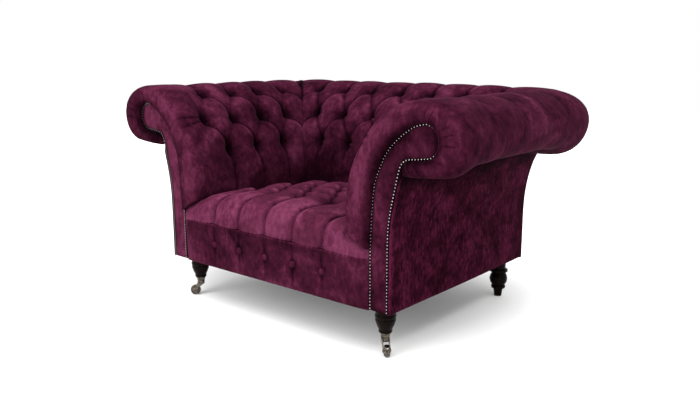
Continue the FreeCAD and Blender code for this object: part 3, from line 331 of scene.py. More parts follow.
def cloud(tree, scale, detail=3.0, stretch=(1, 1, 1), distortion=0.0, roughness=0.55):
    texture = tree.nodes.new("ShaderNodeTexNoise")
    texture.inputs["Scale"].default_value = scale
    texture.inputs["Detail"].default_value = detail
    texture.inputs["Roughness"].default_value = roughness
    texture.inputs["Distortion"].default_value = distortion
    tree.links.new(mapped(tree, stretch), texture.inputs["Vector"])
    return texture.outputs["Fac"]


def weave(tree, scale, direction):
    texture = tree.nodes.new("ShaderNodeTexWave")
    texture.bands_direction = direction
    texture.inputs["Scale"].default_value = scale
    texture.inputs["Distortion"].default_value = 0.6
    tree.links.new(mapped(tree, (1, 1, 1)), texture.inputs["Vector"])
    return texture.outputs["Fac"]


def sum_of(tree, first, second, share):
    """first * (1 - share) + second * share"""
    mix = tree.nodes.new("ShaderNodeMix")
    mix.inputs["Factor"].default_value = share
    tree.links.new(first, mix.inputs["A"])
    tree.links.new(second, mix.inputs["B"])
    return mix.outputs["Result"]


def ramp(tree, value, stops):
    node = tree.nodes.new("ShaderNodeValToRGB")
    elements = node.color_ramp.elements
    while len(elements) < len(stops):
        elements.new(0.5)
    for element, (place, colour) in zip(elements, stops):
        element.position = place
        element.color = (*colour, 1.0)
    tree.links.new(value, node.inputs["Fac"])
    return node.outputs["Color"]


def spread(tree, value, low, high):
    node = tree.nodes.new("ShaderNodeMapRange")
    node.inputs["To Min"].default_value = low
    node.inputs["To Max"].default_value = high
    tree.links.new(value, node.inputs["Value"])
    return node.outputs["Result"]


def bumped(tree, shader, height, strength, distance):
    bump = tree.nodes.new("ShaderNodeBump")
    bump.inputs["Strength"].default_value = strength
    bump.inputs["Distance"].default_value = distance
    tree.links.new(height, bump.inputs["Height"])
    tree.links.new(bump.outputs["Normal"], shader.inputs["Normal"])


def toned(colour, *gains):
    """A colour times plain numbers or (red, green, blue) gains."""
    for gain in gains:
        colour = np.multiply(colour, gain)
    return tuple(colour)


def velvet(name, look, nap, streak, contrast, gain=1.0, patch=8.0, fine=0.66, swirl=1.0):
    """Velvet: blotches where the pile leans, nap streaks, fine fibres, painted shade in folds and painted
    highlight on lips.
    """
    # Darkest colour stop, reached by the painted shade in folds, pits and under the rolls
    deepest = 0.18
    material, tree, shader = blank_material(name)
    blotch = cloud(tree, patch, detail=5.0, distortion=0.8 * swirl)
    streaks = cloud(tree, 1.0, detail=6.0, stretch=nap, distortion=0.5 * swirl, roughness=fine)
    lean = sum_of(tree, blotch, streaks, streak)
    fibre = cloud(tree, 620.0)
    # Painted shading from the cover meshes shifts the tone: painted shade in folds, pits and under rolls,
    # painted highlight on lips
    painted_shading = tree.nodes.new("ShaderNodeAttribute")
    painted_shading.attribute_name = "painted_shading"
    tone = tree.nodes.new("ShaderNodeMath")
    tone.operation = "MULTIPLY_ADD"
    tree.links.new(painted_shading.outputs["Fac"], tone.inputs[0])
    tone.inputs[1].default_value = 2.0 * contrast
    tree.links.new(sum_of(tree, lean, fibre, share=0.20), tone.inputs[2])
    colour = ramp(tree, tone.outputs[0], (
        (0.50 - 2.2 * contrast, toned(look.shade, gain, deepest)),
        (0.50 - contrast, toned(look.shade, gain)),
        (0.50, toned(look.body, gain)),
        (0.50 + contrast, toned(look.light, gain)),
    ))
    tree.links.new(colour, shader.inputs["Base Color"])
    tree.links.new(spread(tree, lean, low=0.95, high=0.80), shader.inputs["Roughness"])
    shader.inputs["Sheen Weight"].default_value = look.sheen
    shader.inputs["Sheen Roughness"].default_value = 0.30
    shader.inputs["Sheen Tint"].default_value = (*look.sheen_tint, 1.0)
    shader.inputs["Specular IOR Level"].default_value = 0.01
    bumped(tree, shader, sum_of(tree, fibre, streaks, share=0.6), strength=0.40, distance=0.0011)
    return material


def polished_wood():
    """Nearly black turned wood with a faint grain along its height and a rubbed polish."""
    material, tree, shader = blank_material("Dark polished wood")
    grain = cloud(tree, 26.0, detail=5.0, stretch=(1, 1, 0.12), distortion=0.8)
    rub = cloud(tree, 60.0)
    colour = ramp(tree, grain, ((0.3, (0.0016, 0.0008, 0.0006)), (0.7, (0.007, 0.003, 0.002))))
    tree.links.new(colour, shader.inputs["Base Color"])
    tree.links.new(spread(tree, rub, low=0.16, high=0.28), shader.inputs["Roughness"])
    shader.inputs["Specular IOR Level"].default_value = 0.035
    bumped(tree, shader, grain, strength=0.06, distance=0.0006)
    return material


def bright_metal(name, dull, bright, polished, worn):
    """Metal that is dull and rough where it is worn, bright and smooth elsewhere."""
    material, tree, shader = blank_material(name)
    wear_and_highlight = cloud(tree, 140.0, detail=4.0)
    tree.links.new(ramp(tree, wear_and_highlight, ((0.3, dull), (0.6, bright))), shader.inputs["Base Color"])
    shader.inputs["Metallic"].default_value = 1.0
    tree.links.new(spread(tree, wear_and_highlight, low=worn, high=polished), shader.inputs["Roughness"])
    bumped(tree, shader, wear_and_highlight, strength=0.05, distance=0.0003)
    return material


def nail_finish():
    """Dark patina and painted shade at each nail's rim, and a painted highlight of bright metal on its crown.
    """
    material, tree, shader = blank_material("Nail metal")
    height = tree.nodes.new("ShaderNodeAttribute")
    height.attribute_name = "crown"
    # Height with a little random wear: painted shade low on the nail, painted highlight at its crown
    wear_and_highlight = sum_of(tree, height.outputs["Fac"], cloud(tree, 400.0, detail=2.0), share=0.12)
    colour = ramp(tree, wear_and_highlight, (
        (0.50, (0.003, 0.003, 0.003)),
        (0.82, (0.012, 0.011, 0.011)),
        (0.94, (0.66, 0.62, 0.59)),
    ))
    tree.links.new(colour, shader.inputs["Base Color"])
    shader.inputs["Metallic"].default_value = 0.9
    tree.links.new(spread(tree, wear_and_highlight, low=0.5, high=0.2), shader.inputs["Roughness"])
    return material


def raw_timber():
    """Sawn frame timber with its grain along the chair's width."""
    material, tree, shader = blank_material("Frame timber")
    grain = cloud(tree, 14.0, detail=5.0, stretch=(0.15, 1, 1), distortion=1.0)
    colour = ramp(tree, grain, ((0.3, (0.36, 0.22, 0.11)), (0.7, (0.58, 0.41, 0.24))))
    tree.links.new(colour, shader.inputs["Base Color"])
    tree.links.new(spread(tree, grain, low=0.55, high=0.75), shader.inputs["Roughness"])
    bumped(tree, shader, grain, strength=0.15, distance=0.001)
    return material


def woven_cloth(name, dark, light, threads):
    """Plain weave with thicker threads here and there."""
    material, tree, shader = blank_material(name)
    warp = weave(tree, threads, direction="X")
    weft = weave(tree, threads, direction="Y")
    cross = sum_of(tree, warp, weft, share=0.5)
    slub = cloud(tree, 60.0)
    tone = sum_of(tree, cross, slub, share=0.45)
    tree.links.new(ramp(tree, tone, ((0.3, dark), (0.7, light))), shader.inputs["Base Color"])
    tree.links.new(spread(tree, slub, low=0.8, high=0.95), shader.inputs["Roughness"])
    bumped(tree, shader, cross, strength=0.4, distance=0.0006)
    return material


FINISHES = {}


def finish(name):
    """Each finish is made once, when it is first asked for."""
    if name not in FINISHES:
        look = bpy.context.scene.armchair_velvet
        makers = {
            "velvet": lambda: velvet("Plum velvet", look, nap=(58, 58, 38), streak=0.45, contrast=0.135,
                                     gain=1.08),
            # A lighter copy of the velvet for the seat: painted light on its upward-facing top and nosing
            "seat_velvet_painted_light": lambda: velvet("Plum velvet seat painted light", look, nap=(58, 58, 38), streak=0.45,
                                          contrast=0.19, gain=(1.88, 2.28, 2.04)),
            "button_velvet": lambda: velvet("Plum velvet buttons", look, nap=(90, 90, 90), streak=0.60,
                                            contrast=0.22, gain=1.15),
            # A darker copy for the outside panels, with their own finer nap: painted shade on the sides that
            # face away from the light
            "panel_velvet_painted_shade": lambda: velvet("Plum velvet outside painted shade", look, nap=(125, 125, 50), streak=0.56,
                                           contrast=0.080, gain=(0.76, 0.49, 0.66), patch=12.0, fine=0.68,
                                           swirl=0.2),
            "wood": polished_wood,
            "nail": nail_finish,
            "castor": lambda: bright_metal("Castor metal", dull=(0.016, 0.012, 0.009),
                                           bright=(0.125, 0.108, 0.090), polished=0.10, worn=0.22),
            "steel": lambda: bright_metal("Plain steel", dull=(0.22, 0.22, 0.23),
                                          bright=(0.48, 0.48, 0.49), polished=0.35, worn=0.5),
            "timber": raw_timber,
            "jute": lambda: woven_cloth("Jute hessian", dark=(0.26, 0.17, 0.08), light=(0.48, 0.35, 0.19),
                                        threads=260.0),
            "cambric": lambda: woven_cloth("Black cambric", dark=(0.006, 0.006, 0.007),
                                           light=(0.02, 0.02, 0.022), threads=700.0),
        }
        FINISHES[name] = makers[name]()
    return FINISHES[name]


# Padded roll of the arms and the back

def roll_section(end, core_end, step):
    """Crest line of the roll with its inward direction, core partner and button rows."""
    crest = np.vstack((CREST, circle_points(ROLL_CENTRE, ROLL_SIZE, UPPER_DEGREES),
                       circle_points(UNDER_CENTRE, UNDER_SIZE, LOWER_DEGREES), end))
    eye = circle_points(EYE, (EYE_RADIUS, EYE_RADIUS), UPPER_DEGREES + LOWER_DEGREES)
    core = np.vstack((CORE, eye, core_end))
    crest_line = softened(spline(crest), CREST_PASSES)
    core_line = softened(spline(core), CORE_PASSES)
    along = run_length(crest_line)
    crown = SPLINE_STEPS * CROWN_NODE
    wanted = np.linspace(0.0, along[-1], int(round(along[-1] / step)) + 1)
    return Section(
        at_length(crest_line, along, wanted),
        at_length(right_of(crest_line), along, wanted),
        at_length(core_line, along, wanted),
        wanted,
        list(np.interp(ROW_HEIGHTS, crest_line[:crown, 1], along[:crown])),
        along[crown],
    )


# Folds in the cloth, and the painted shading beside them, which runs from -1, painted shade, to 1, painted
# light
FOLD_ROUNDNESS = 0.8
LIP_RISE = 2.2
LIP_FALL = 9
LIP_HEIGHT = 0.9
LIP_PLACE = 0.012
LIP_WIDTH = 0.008
LIP_LIGHT = 0.22
CREASE_BEFORE = 0.0025
CREASE_AFTER = 0.0050
CREASE_DARK = 0.85
SOFT_CREASE = 0.008
SOFT_CREASE_DARK = 0.22
PIT_FALL = 1.35
PIT_SHADE_RADIUS = 0.021
PIT_DARK = 1.25
PUCKER_REACH = 0.019
PUCKER_RAYS = ((9, 1.7, 1.0), (5, 2.3, 0.6))
ROLL_FOLD_GAP = 0.10
ARM_FOLD_SHARES = (0.22, 0.32, 0.62, 1.0, 1.0, 0.62, 0.30, 0.10, 0.04)
BACK_FOLD_SHARES = (0.04, 0.06, 0.22, 0.62, 0.74, 0.60, 0.34, 0.12, 0.05)
# Painted shade over the foot of the back, where it meets the seat
BACK_FOOT_DARK = 0.40


def fold(share):
    """A soft valley at every whole number."""
    return np.abs(np.sin(np.pi * share)) ** FOLD_ROUNDNESS


def lipped(share):
    """A tucked fold at every whole number: a steep lip before it and a slow rise after it."""
    part = share - np.floor(share)
    return (1.0 - (1.0 - part) ** LIP_RISE) * (1.0 - part ** LIP_FALL) / LIP_HEIGHT


def tufted(first, second, saddle):
    """Height of a diamond-tufted cloth: 0 at the buttons, saddle along the folds, 1 on the pillows."""
    return first * second + saddle * (first + second - 2 * first * second)


def button_pits(across, up, buttons, radius):
    """How near each point of a cloth is to a button: 1 at its middle, falling off over the radius."""
    near = np.zeros(np.broadcast(across, up).shape)
    for place, height in buttons:
        reach = np.hypot(across - place, up - height) / radius
        near = np.maximum(near, np.exp(-reach ** PIT_FALL))
    return near


def button_puckers(across, up, buttons, size):
    """Short radial wrinkles round each button, as depth."""
    pucker = np.zeros(np.broadcast(across, up).shape)
    for number, (place, height) in enumerate(buttons):
        side = across - place
        rise = up - height
        reach = np.hypot(side, rise) / PUCKER_REACH
        angle = np.arctan2(rise, side)
        rays = sum(weight * np.cos(count * angle + turn * number) for count, turn, weight in PUCKER_RAYS)
        pucker += size * rays * reach * np.exp(1.0 - reach)
    return pucker


def creased(share, reach):
    """Painted shading beside tucked folds at every whole number: painted shade in the fold, painted highlight
    on its lip.
    """
    part = share - np.floor(share)
    after = part * reach
    before = (1.0 - part) * reach
    dark = np.maximum(np.exp(-after / CREASE_AFTER), np.exp(-before / CREASE_BEFORE))
    lip = np.exp(-((before - LIP_PLACE) / LIP_WIDTH) ** 2)
    return LIP_LIGHT * lip - CREASE_DARK * dark


def soft_crease(share, reach):
    """Painted shade in a soft fold at every whole number."""
    return -SOFT_CREASE_DARK * np.exp(-np.abs(share - np.round(share)) * reach / SOFT_CREASE)


def roll_tufts(cover, section, run, across, buttons, even):
    """Depth of the folds and button pits below the crest line, and the painted shading there.

    The back is even: its folds are tucked both ways. The arms have soft folds one way.
    """
    low, middle, top = section.rows
    along = section.along[None, :]
    up = np.interp(along, (low, middle, top), (0.0, 1.0, 2.0))
    band = np.minimum(np.floor(up), 1.0)
    up = band + (up - band) ** cover.fold_sweep
    places = (0.0, low - 0.12, low - 0.045, low, top, top + 0.035, section.crown,
              section.crown + 0.10, section.along[-1])
    share = np.interp(along, places, BACK_FOLD_SHARES if even else ARM_FOLD_SHARES)
    first = (across + up) / 2
    second = (up - across) / 2
    other = lipped(second) if even else fold(second)
    depth = cover.fold_depth * share * (1.0 - tufted(lipped(first), other, cover.saddle))
    depth += cover.pit_depth * button_pits(run, along, buttons, cover.pit_radius)
    depth += button_puckers(run, along, buttons, cover.pucker)
    other_crease = creased if even else soft_crease
    painted_shading = creased(first, ROLL_FOLD_GAP) + other_crease(second, ROLL_FOLD_GAP)
    # Painted shade in the button pits and, at the back, over its foot
    pits = button_pits(run, along, buttons, PIT_SHADE_RADIUS)
    painted_shading = np.clip(painted_shading, -1.0, 0.30) * np.clip(share * 1.1, 0.0, 1.0) * (1.0 - pits) - PIT_DARK * pits
    if even:
        painted_shading = painted_shading - BACK_FOOT_DARK * (1.0 - smooth_step(along, low - 0.13, low + 0.03))
    return depth, painted_shading


# Corner seams, flat fold at the arm's front, and painted shade in the seams, the flat fold and on the rolls
VALLEY_FROM = 0.41
VALLEY_TO = 0.50
VALLEY_RADIUS = 0.040
SEAM_RUN = 0.012
SEAM_WIDTH = 0.006
SEAM_DARK = 1.1
CLOTH_SWAY = 0.0016
SWAY_FADE = 0.05
FLAT_FOLD_DEPTH = 0.0042
FLAT_FOLD_WIDTH = 0.0035
FLAT_FOLD_START = 0.002
FLAT_FOLD_SPREAD = 0.014
FLAT_FOLD_FALL = 0.010
FLAT_FOLD_DARK = 130.0
FOOT_DROP = 0.022
FOOT_RUN = 0.06
OUTER_SIDE_DARK = 0.15
UNDERSIDE_DARK = 0.40


def mitre_depth(cover, section):
    """How far the cloth is drawn in where two rolls meet: a deep valley inside, a fine seam on the roll."""
    share = 1.0 - smooth_step(section.crest[:, 0], VALLEY_FROM, VALLEY_TO)
    return cover.valley_depth * share + cover.seam_depth


def valley(depth, left, radius):
    """Rounded fall of a stuffed edge towards a seam, by the distance left to it."""
    share = np.clip(1.0 - left / radius, 0.0, 1.0)
    return depth * (1.0 - np.sqrt(np.clip(1.0 - share ** 2, 0.0, 1.0)))


def arm_buttons(section):
    """Arm buttons as (depth behind the facing, length up the section)."""
    low, middle, top = section.rows
    pitch = 2 * ROLL_HALF_PITCH
    spots = [(ARM_FIRST + k * pitch, middle) for k in range(4)]
    spots += [(ARM_FIRST + ROLL_HALF_PITCH + k * pitch, low) for k in range(3)]
    spots += [(ARM_FIRST + ROLL_HALF_PITCH + k * pitch, top) for k in range(4)]
    return spots


def back_buttons(section):
    """Back buttons as (distance from the middle, length up the section)."""
    low, middle, top = section.rows
    spots = [(k * ROLL_HALF_PITCH, middle) for k in (-5, -3, -1, 1, 3, 5)]
    spots += [(k * ROLL_HALF_PITCH, low) for k in (-4, -2, 0, 2, 4)]
    spots += [(k * ROLL_HALF_PITCH, top) for k in (-6, -4, -2, 0, 2, 4, 6)]
    return spots


def front_creases(section, run):
    """Two fine creases of a flat fold that runs from the first middle button to the front."""
    middle = section.rows[1]
    ahead = np.clip(1.0 - run / ARM_FIRST, 0.0, 1.4)
    depth = np.zeros(np.broadcast(run, section.along[None, :]).shape)
    for way in (-1, 1):
        line = middle + way * (FLAT_FOLD_START + FLAT_FOLD_SPREAD * ahead) - FLAT_FOLD_FALL * ahead
        depth = np.maximum(depth, np.exp(-np.abs(section.along[None, :] - line) / FLAT_FOLD_WIDTH))
    return FLAT_FOLD_DEPTH * depth * smooth_step(ahead, 0.02, 0.15)


def seam_shade(painted_shading, left):
    """Painted shading with the painted shade of a corner seam's line added, by the distance left to it."""
    return painted_shading - SEAM_DARK * np.exp(-left / SEAM_WIDTH)


def foot_drop(section):
    """How far the foot of a roll reaches down beside the seat."""
    return FOOT_DROP * (1.0 - smooth_step(section.along, 0.0, FOOT_RUN))


def roll_shade(section):
    """Painted shade on the roll's outer side and towards its underside."""
    end = section.along[-1]
    outer_side = smooth_step(section.along, section.crown - 0.02, section.crown + 0.06)
    underside = smooth_step(section.along, end - 0.22, end - 0.06)
    return OUTER_SIDE_DARK * outer_side + UNDERSIDE_DARK * underside


def with_valley(tufts, left, ends, sway):
    """Depth of the tufts and of the fall towards the corner seam, with the cloth's unevenness."""
    edge = valley(ends[None, :], left, VALLEY_RADIUS)
    depth = (tufts ** 4 + edge ** 4) ** 0.25
    return depth + CLOTH_SWAY * sway * smooth_step(left, 0.0, SWAY_FADE)


def at_seam(depth, left, ends):
    """Depth that becomes the seam's own depth where the roll ends."""
    return ends + (depth - ends) * smooth_step(left, 0.0, SEAM_RUN)


def arm_depth(cover, section, run, left, ends):
    """Depth of the arm's cloth below the crest line at each point of its grid, and its painted shading."""
    along = section.along
    across = np.maximum((run - ARM_FIRST) / ROLL_HALF_PITCH + 1.0, 1.0)
    tufts, painted_shading = roll_tufts(cover, section, run, across, arm_buttons(section), False)
    behind = smooth_step(run, 0.055, ARM_FIRST)
    creases = front_creases(section, run)
    tufts = np.maximum(tufts, 0.0) * behind + creases
    sway = ripple(run * 31.0 + along * 17.0, run * 13.0 - along * 29.0 + 1.3)
    depth = with_valley(tufts, left, ends, sway)
    inner_side = 1.0 - smooth_step(along, section.rows[2] - 0.03, section.crown)[None, :]
    depth -= cover.front_fullness * inner_side * (1.0 - smooth_step(run, 0.03, 0.15))
    under = smooth_step(along, along[-1] - 0.24, along[-1] - 0.12)[None, :]
    under = under * smooth_step(run, 0.005, 0.10) * (1.0 - smooth_step(run, 0.50, 0.68))
    depth += cover.underside_lift * under
    # Painted shade in the flat fold, along the corner seam and on the roll's outer side and underside
    painted_shading = seam_shade(painted_shading * behind - FLAT_FOLD_DARK * creases, left) - roll_shade(section)[None, :]
    return at_seam(depth, left, ends), painted_shading


def back_depth(cover, section, run, left, ends):
    """Depth of the back's cloth below the crest line at each point of its grid, and its painted shading."""
    along = section.along
    across = run / ROLL_HALF_PITCH
    tufts, painted_shading = roll_tufts(cover, section, run, across, back_buttons(section), True)
    sway = ripple(run * 23.0 + along * 19.0, run * 11.0 - along * 31.0 + 0.7)
    depth = with_valley(np.maximum(tufts, 0.0), left, ends, sway)
    # Painted shade along the corner seams and on the roll's outer side and underside
    painted_shading = seam_shade(painted_shading, left) - roll_shade(section)[None, :]
    return at_seam(depth, left, ends), painted_shading


def corner_run(limit_x, flat, share):
    """Straight run, turn and length left of a roll's lines, a share of the way to the corner's mitre."""
    radius = np.maximum(limit_x - AXIS_X, 0.0)
    total = flat + radius * CORNER_TURN
    gone = np.abs(share) * total
    straight = np.minimum(gone, flat)
    turn = (gone - straight) / np.maximum(radius, TINY)
    return straight, turn, total - gone


def round_corner(section_x, limit_x, straight, turn):
    """Points of a roll's lines as (out, along): straight at first, then turned about the corner's axis."""
    turns = limit_x > AXIS_X
    over = np.where(turns, section_x - AXIS_X, 0.0)
    out = np.where(turns, AXIS_X + over * np.cos(turn), section_x)
    return out, straight + over * np.sin(turn)


def core_at(core, flat, share):
    """A roll's core line as (out, along), a share of the way to the mitre."""
    straight, turn, _ = corner_run(core[:, 0], flat, share)
    return round_corner(core[:, 0], core[:, 0], straight, turn)


def edge_strips(index, lining, marks):
    """Faces that close a cover's two long edges down to its lining, between the marked rows."""
    faces = []
    for column in (0, -1):
        for k, (start, end) in enumerate(zip(marks, marks[1:])):
            faces.append(index[start:end + 1, column].tolist() + lining[[k + 1, k], column].tolist())
    return faces


def spots_on(outer, run, section, buttons, axis):
    """Place and direction of each button on a roll whose section reaches out along an axis."""
    spots = []
    for place, height in buttons:
        column = int(np.argmin(np.abs(section.along - height)))
        row = int(np.argmin(np.abs(run[:, column] - place)))
        way = np.zeros(3)
        way[axis] = -section.inward[column, 0]
        way[2] = -section.inward[column, 1]
        spots.append((outer[row, column], way))
    return spots


# Front bead of the arm, as (share from the core line to the crest line, depth behind the facing)
BEAD = ((0.0, 0.028), (0.0, 0.008), (-0.030, -0.003), (-0.045, -0.011), (-0.010, -0.0185), (0.10, -0.0235),
        (0.32, -0.0252), (0.60, -0.0246), (0.82, -0.0190), (0.945, -0.0065), (0.995, 0.010), (1.0, 0.028))
BEAD_FRONT = 0.025
BEAD_DEPTH_WEIGHT = 10
BEAD_GIRTH = 1.6
BEAD_PLEAT_GAP = 0.052
BEAD_PLEAT_WIDTH = 0.0026
BEAD_PLEAT_DEPTH = 0.0030
# Painted shade in the bead's pleats and by its nail line, painted highlight along its middle
BEAD_PLEAT_DARK = 0.40
BEAD_LIGHT = 0.20
BEAD_NAIL_DARK = 0.45
BEAD_BUTT = 0.055
BEAD_TAIL = 0.11

# Nominal runs of the rolls, which set how many rows their grids and linings have
ARM_RUN = 0.60
BACK_RUN = 1.04
BACK_COARSER = 1.12
ARM_LININGS = 9
BACK_LININGS = 13

# Depths of a fold between which the cloth becomes held
GRIP_FROM = 0.010
GRIP_TO = 0.024


def arm_bead(cover, section, front):
    """Grid and painted shading of the bead that turns from the cover's front row round to the facing's edge.
    """
    outline = spline([(weight, depth * BEAD_DEPTH_WEIGHT) for weight, depth in BEAD])
    line = evenly(outline, BEAD_GIRTH / cover.bead_rows)[:-1]
    weight = line[:, 0, None]
    depths = line[:, 1, None] / BEAD_DEPTH_WEIGHT
    along = section.along[None, :]
    core = section.core[None]
    flat = core + (front[:, (0, 2)][None] - core) * weight[..., None]
    beat = along / BEAD_PLEAT_GAP + 0.35 * np.sin(along * 47.0)
    pleats = np.exp(-np.abs(beat - np.round(beat)) * BEAD_PLEAT_GAP / BEAD_PLEAT_WIDTH)
    pleats = pleats * smooth_step(weight, 0.10, 0.30) * (1.0 - smooth_step(weight, 0.50, 0.72))
    pleats = pleats * smooth_step(along, section.rows[2], section.crown)
    pleats = pleats * np.clip(-depths / BEAD_FRONT, 0.0, 1.0)
    butt = smooth_step(section.along[-1] - along, 0.0, BEAD_BUTT)
    ahead = np.minimum(depths, 0.0) * cover.bead_reach / BEAD_FRONT * (0.12 + 0.88 * butt)
    run = np.maximum(depths, 0.0) + ahead + BEAD_PLEAT_DEPTH * pleats
    flat_fold = front_creases(section, np.minimum(run, cover.bead_back)) * smooth_step(weight, 0.70, 1.0)
    tail = (1.0 - smooth_step(along, 0.0, BEAD_TAIL)) * np.clip(1.0 - weight, 0.0, 1.0)
    bead = np.stack((flat[..., 0], run + flat_fold, flat[..., 1] - cover.tail_drop * tail), axis=-1)
    # Painted highlight along the bead's middle; painted shade by the nails, in the pleats and in the flat
    # fold
    light = BEAD_LIGHT * smooth_step(weight, 0.20, 0.42) * (1.0 - smooth_step(weight, 0.72, 0.97))
    nail_shade = BEAD_NAIL_DARK * (1.0 - smooth_step(weight, 0.02, 0.24))
    painted_shading = light - nail_shade - BEAD_PLEAT_DARK * pleats - FLAT_FOLD_DARK * flat_fold
    return bead, painted_shading - roll_shade(section)[None, :]


def arm_cover(cover):
    """Points, faces, button spots and painted shading of the right arm's padded roll, bead and rear corner
    half.
    """
    section = roll_section(ARM_END, ARM_CORE_END, cover.cloth_step)
    crest, inward, core = section.crest, section.inward, section.core
    ends = mitre_depth(cover, section)
    end_x = crest[:, 0] + inward[:, 0] * ends
    rows = int(round(ARM_RUN / cover.cloth_step))
    share = np.linspace(0.0, 1.0, rows)[:, None]
    flat = np.minimum(end_x, AXIS_X) + MITRE - cover.bead_back
    straight, turn, left = corner_run(end_x, flat, share)
    run = cover.bead_back + straight
    depth, painted_shading = arm_depth(cover, section, run + turn / CORNER_TURN * CORNER_SPREAD, left, ends)
    x = crest[:, 0] + inward[:, 0] * depth
    z = crest[:, 1] + inward[:, 1] * depth - foot_drop(section) * smooth_step(run, 0.06, 0.14)
    out, along = round_corner(x, end_x, straight, turn)
    outer = np.stack((out, cover.bead_back + along, z), axis=-1)
    away = np.stack((x - core[:, 0], np.zeros_like(x), z - core[:, 1]), axis=-1)
    outer = swell("arm_cloth", outer, grip(depth, GRIP_FROM, GRIP_TO), away, cover)
    bead, bead_painted_shading = arm_bead(cover, section, outer[0])
    grid = np.concatenate((bead, outer), axis=0)
    painted_shading = np.concatenate((bead_painted_shading, painted_shading), axis=0)
    points = [grid.reshape(-1, 3)]
    picks = np.linspace(0, rows - 1, ARM_LININGS).round().astype(int).tolist()
    core_flat = np.minimum(core[:, 0], AXIS_X) + MITRE - cover.bead_back
    for pick in picks[1:]:
        out, along = core_at(core, core_flat, share[pick])
        points.append(np.stack((out, cover.bead_back + along, core[:, 1]), axis=-1))
    points = np.vstack(points)
    index = numbered(*grid.shape[:2])
    lining = np.vstack((index[:1], numbered(len(picks) - 1, len(core), index.size)))
    faces = grid_faces(index) + grid_faces(lining) + grid_faces(np.vstack((index[-1], lining[-1])))
    faces += edge_strips(index, lining, [len(bead) + pick for pick in picks])
    faces += [index[:len(bead) + 1, column].tolist() for column in (0, -1)]
    spots = spots_on(outer, run, section, arm_buttons(section), 0)
    return points, faces, spots, np.pad(painted_shading.ravel(), (0, len(points) - painted_shading.size))


def back_cover(cover):
    """Points, faces, button spots and painted shading of the back's padded roll between the two mitres."""
    step = cover.cloth_step * BACK_COARSER
    section = roll_section(BACK_END, BACK_CORE_END, step)
    crest, inward, core = section.crest, section.inward, section.core
    ends = mitre_depth(cover, section)
    end_x = crest[:, 0] + inward[:, 0] * ends
    rows = int(round(BACK_RUN / step)) // 2 * 2 + 1
    share = np.linspace(-1.0, 1.0, rows)[:, None]
    side = np.sign(share)
    straight, turn, left = corner_run(end_x, np.minimum(end_x, AXIS_X), share)
    run = side * (straight + turn / CORNER_TURN * CORNER_SPREAD)
    depth, painted_shading = back_depth(cover, section, run, left, ends)
    x = crest[:, 0] + inward[:, 0] * depth
    z = crest[:, 1] + inward[:, 1] * depth - foot_drop(section)
    out, along = round_corner(x, end_x, straight, turn)
    outer = np.stack((side * along, MITRE + out, z), axis=-1)
    away = np.stack((np.zeros_like(x), x - core[:, 0], z - core[:, 1]), axis=-1)
    outer = swell("back_cloth", outer, grip(depth, GRIP_FROM, GRIP_TO), away, cover)
    points = [outer.reshape(-1, 3)]
    picks = np.linspace(0, rows - 1, BACK_LININGS).round().astype(int).tolist()
    for pick in picks:
        out, along = core_at(core, np.minimum(core[:, 0], AXIS_X), share[pick])
        points.append(np.stack((side[pick] * along, MITRE + out, core[:, 1]), axis=-1))
    points = np.vstack(points)
    index = numbered(*outer.shape[:2])
    lining = numbered(len(picks), len(core), index.size)
    faces = grid_faces(index) + grid_faces(lining)
    for end in (0, -1):
        faces += grid_faces(np.vstack((index[end], lining[end])))
    faces += edge_strips(index, lining, picks)
    spots = spots_on(outer, run, section, back_buttons(section), 1)
    return points, faces, spots, np.pad(painted_shading.ravel(), (0, len(points) - painted_shading.size))


# Seat, border and flat panels

SEAT_HALF = BORDER_HALF - 0.0005
SEAT_PROFILE = ((-0.006, 0.3068), (-0.0236, 0.3069), (-0.0245, 0.3082), (-0.0248, 0.326), (-0.0242, 0.350),
                (-0.019, 0.378), (-0.004, 0.402), (0.022, 0.4165), (0.060, 0.4225), (0.160, 0.424),
                (0.260, 0.4225), (0.360, 0.418), (0.450, 0.4105), (0.503, 0.4035), (0.523, 0.390),
                (0.5300, 0.371), (0.538, 0.3595), (0.550, 0.3555), (0.5615, 0.353),
                (0.564, 0.348), (0.564, 0.3068))
SEAT_PASSES = 24
NOSE_DEPTH = 0.022
NOSE_HEIGHT = 0.40
# Share of the painted shading that the nose keeps
NOSE_PAINTED_SHADING = 0.55
SEAT_TOP = 0.38
SEAT_FOLD_GAP = 0.09
SEAT_FOLD_SHARES = (0.14, 0.34, 0.62, 0.74, 0.88, 1.0, 1.0, 0.40, 0.1)
# Painted shade in the seat's button pits
SEAT_PIT_DARK = 1.2
SEAT_SWAY = 0.002
SEAT_HEART = (0.0, 0.25, 0.20)
SEAT_GRIP_FROM = 0.009
SEAT_GRIP_TO = 0.022
TUFTED_HALF = 0.300
RECESS_RUN = 0.034
RECESS_DEPTH = 0.0185
GATHER_PITCH = 0.017
GATHER_DEPTH = 0.0016
# Painted highlight along the gathers at the seat's seam
GATHER_LIGHT = 0.50

# Height of the seat towards its sides, beside the facings at the nose and under the arms behind
FALL_FROM = (0.0, 0.316, 0.325, 0.334, 0.360, 0.390, SEAT_HALF)
NOSE_FALL = (1, 1, 0.90, 0.69, 0.57, 0.44, 0.37)
SIDE_FALL = (1, 1, 0.80, 0.44, 0.38, 0.37, 0.35)
SEAT_CROWN = 0.030
CROWN_HALF = 0.3275
CROWN_LIFT = 0.1175


def end_recess(x):
    """How far the seat front and its border fall back towards the facings at both ends."""
    share = np.clip((np.abs(x) - (SEAT_HALF - RECESS_RUN)) / RECESS_RUN, 0.0, 1.0)
    return RECESS_DEPTH * share ** 1.5


def across_seat(step):
    """Grid lines across the seat and its border, one of them in the middle."""
    columns = int(round(2 * SEAT_HALF / step)) // 2 * 2 + 1
    return np.linspace(-SEAT_HALF, SEAT_HALF, columns)[None, :]


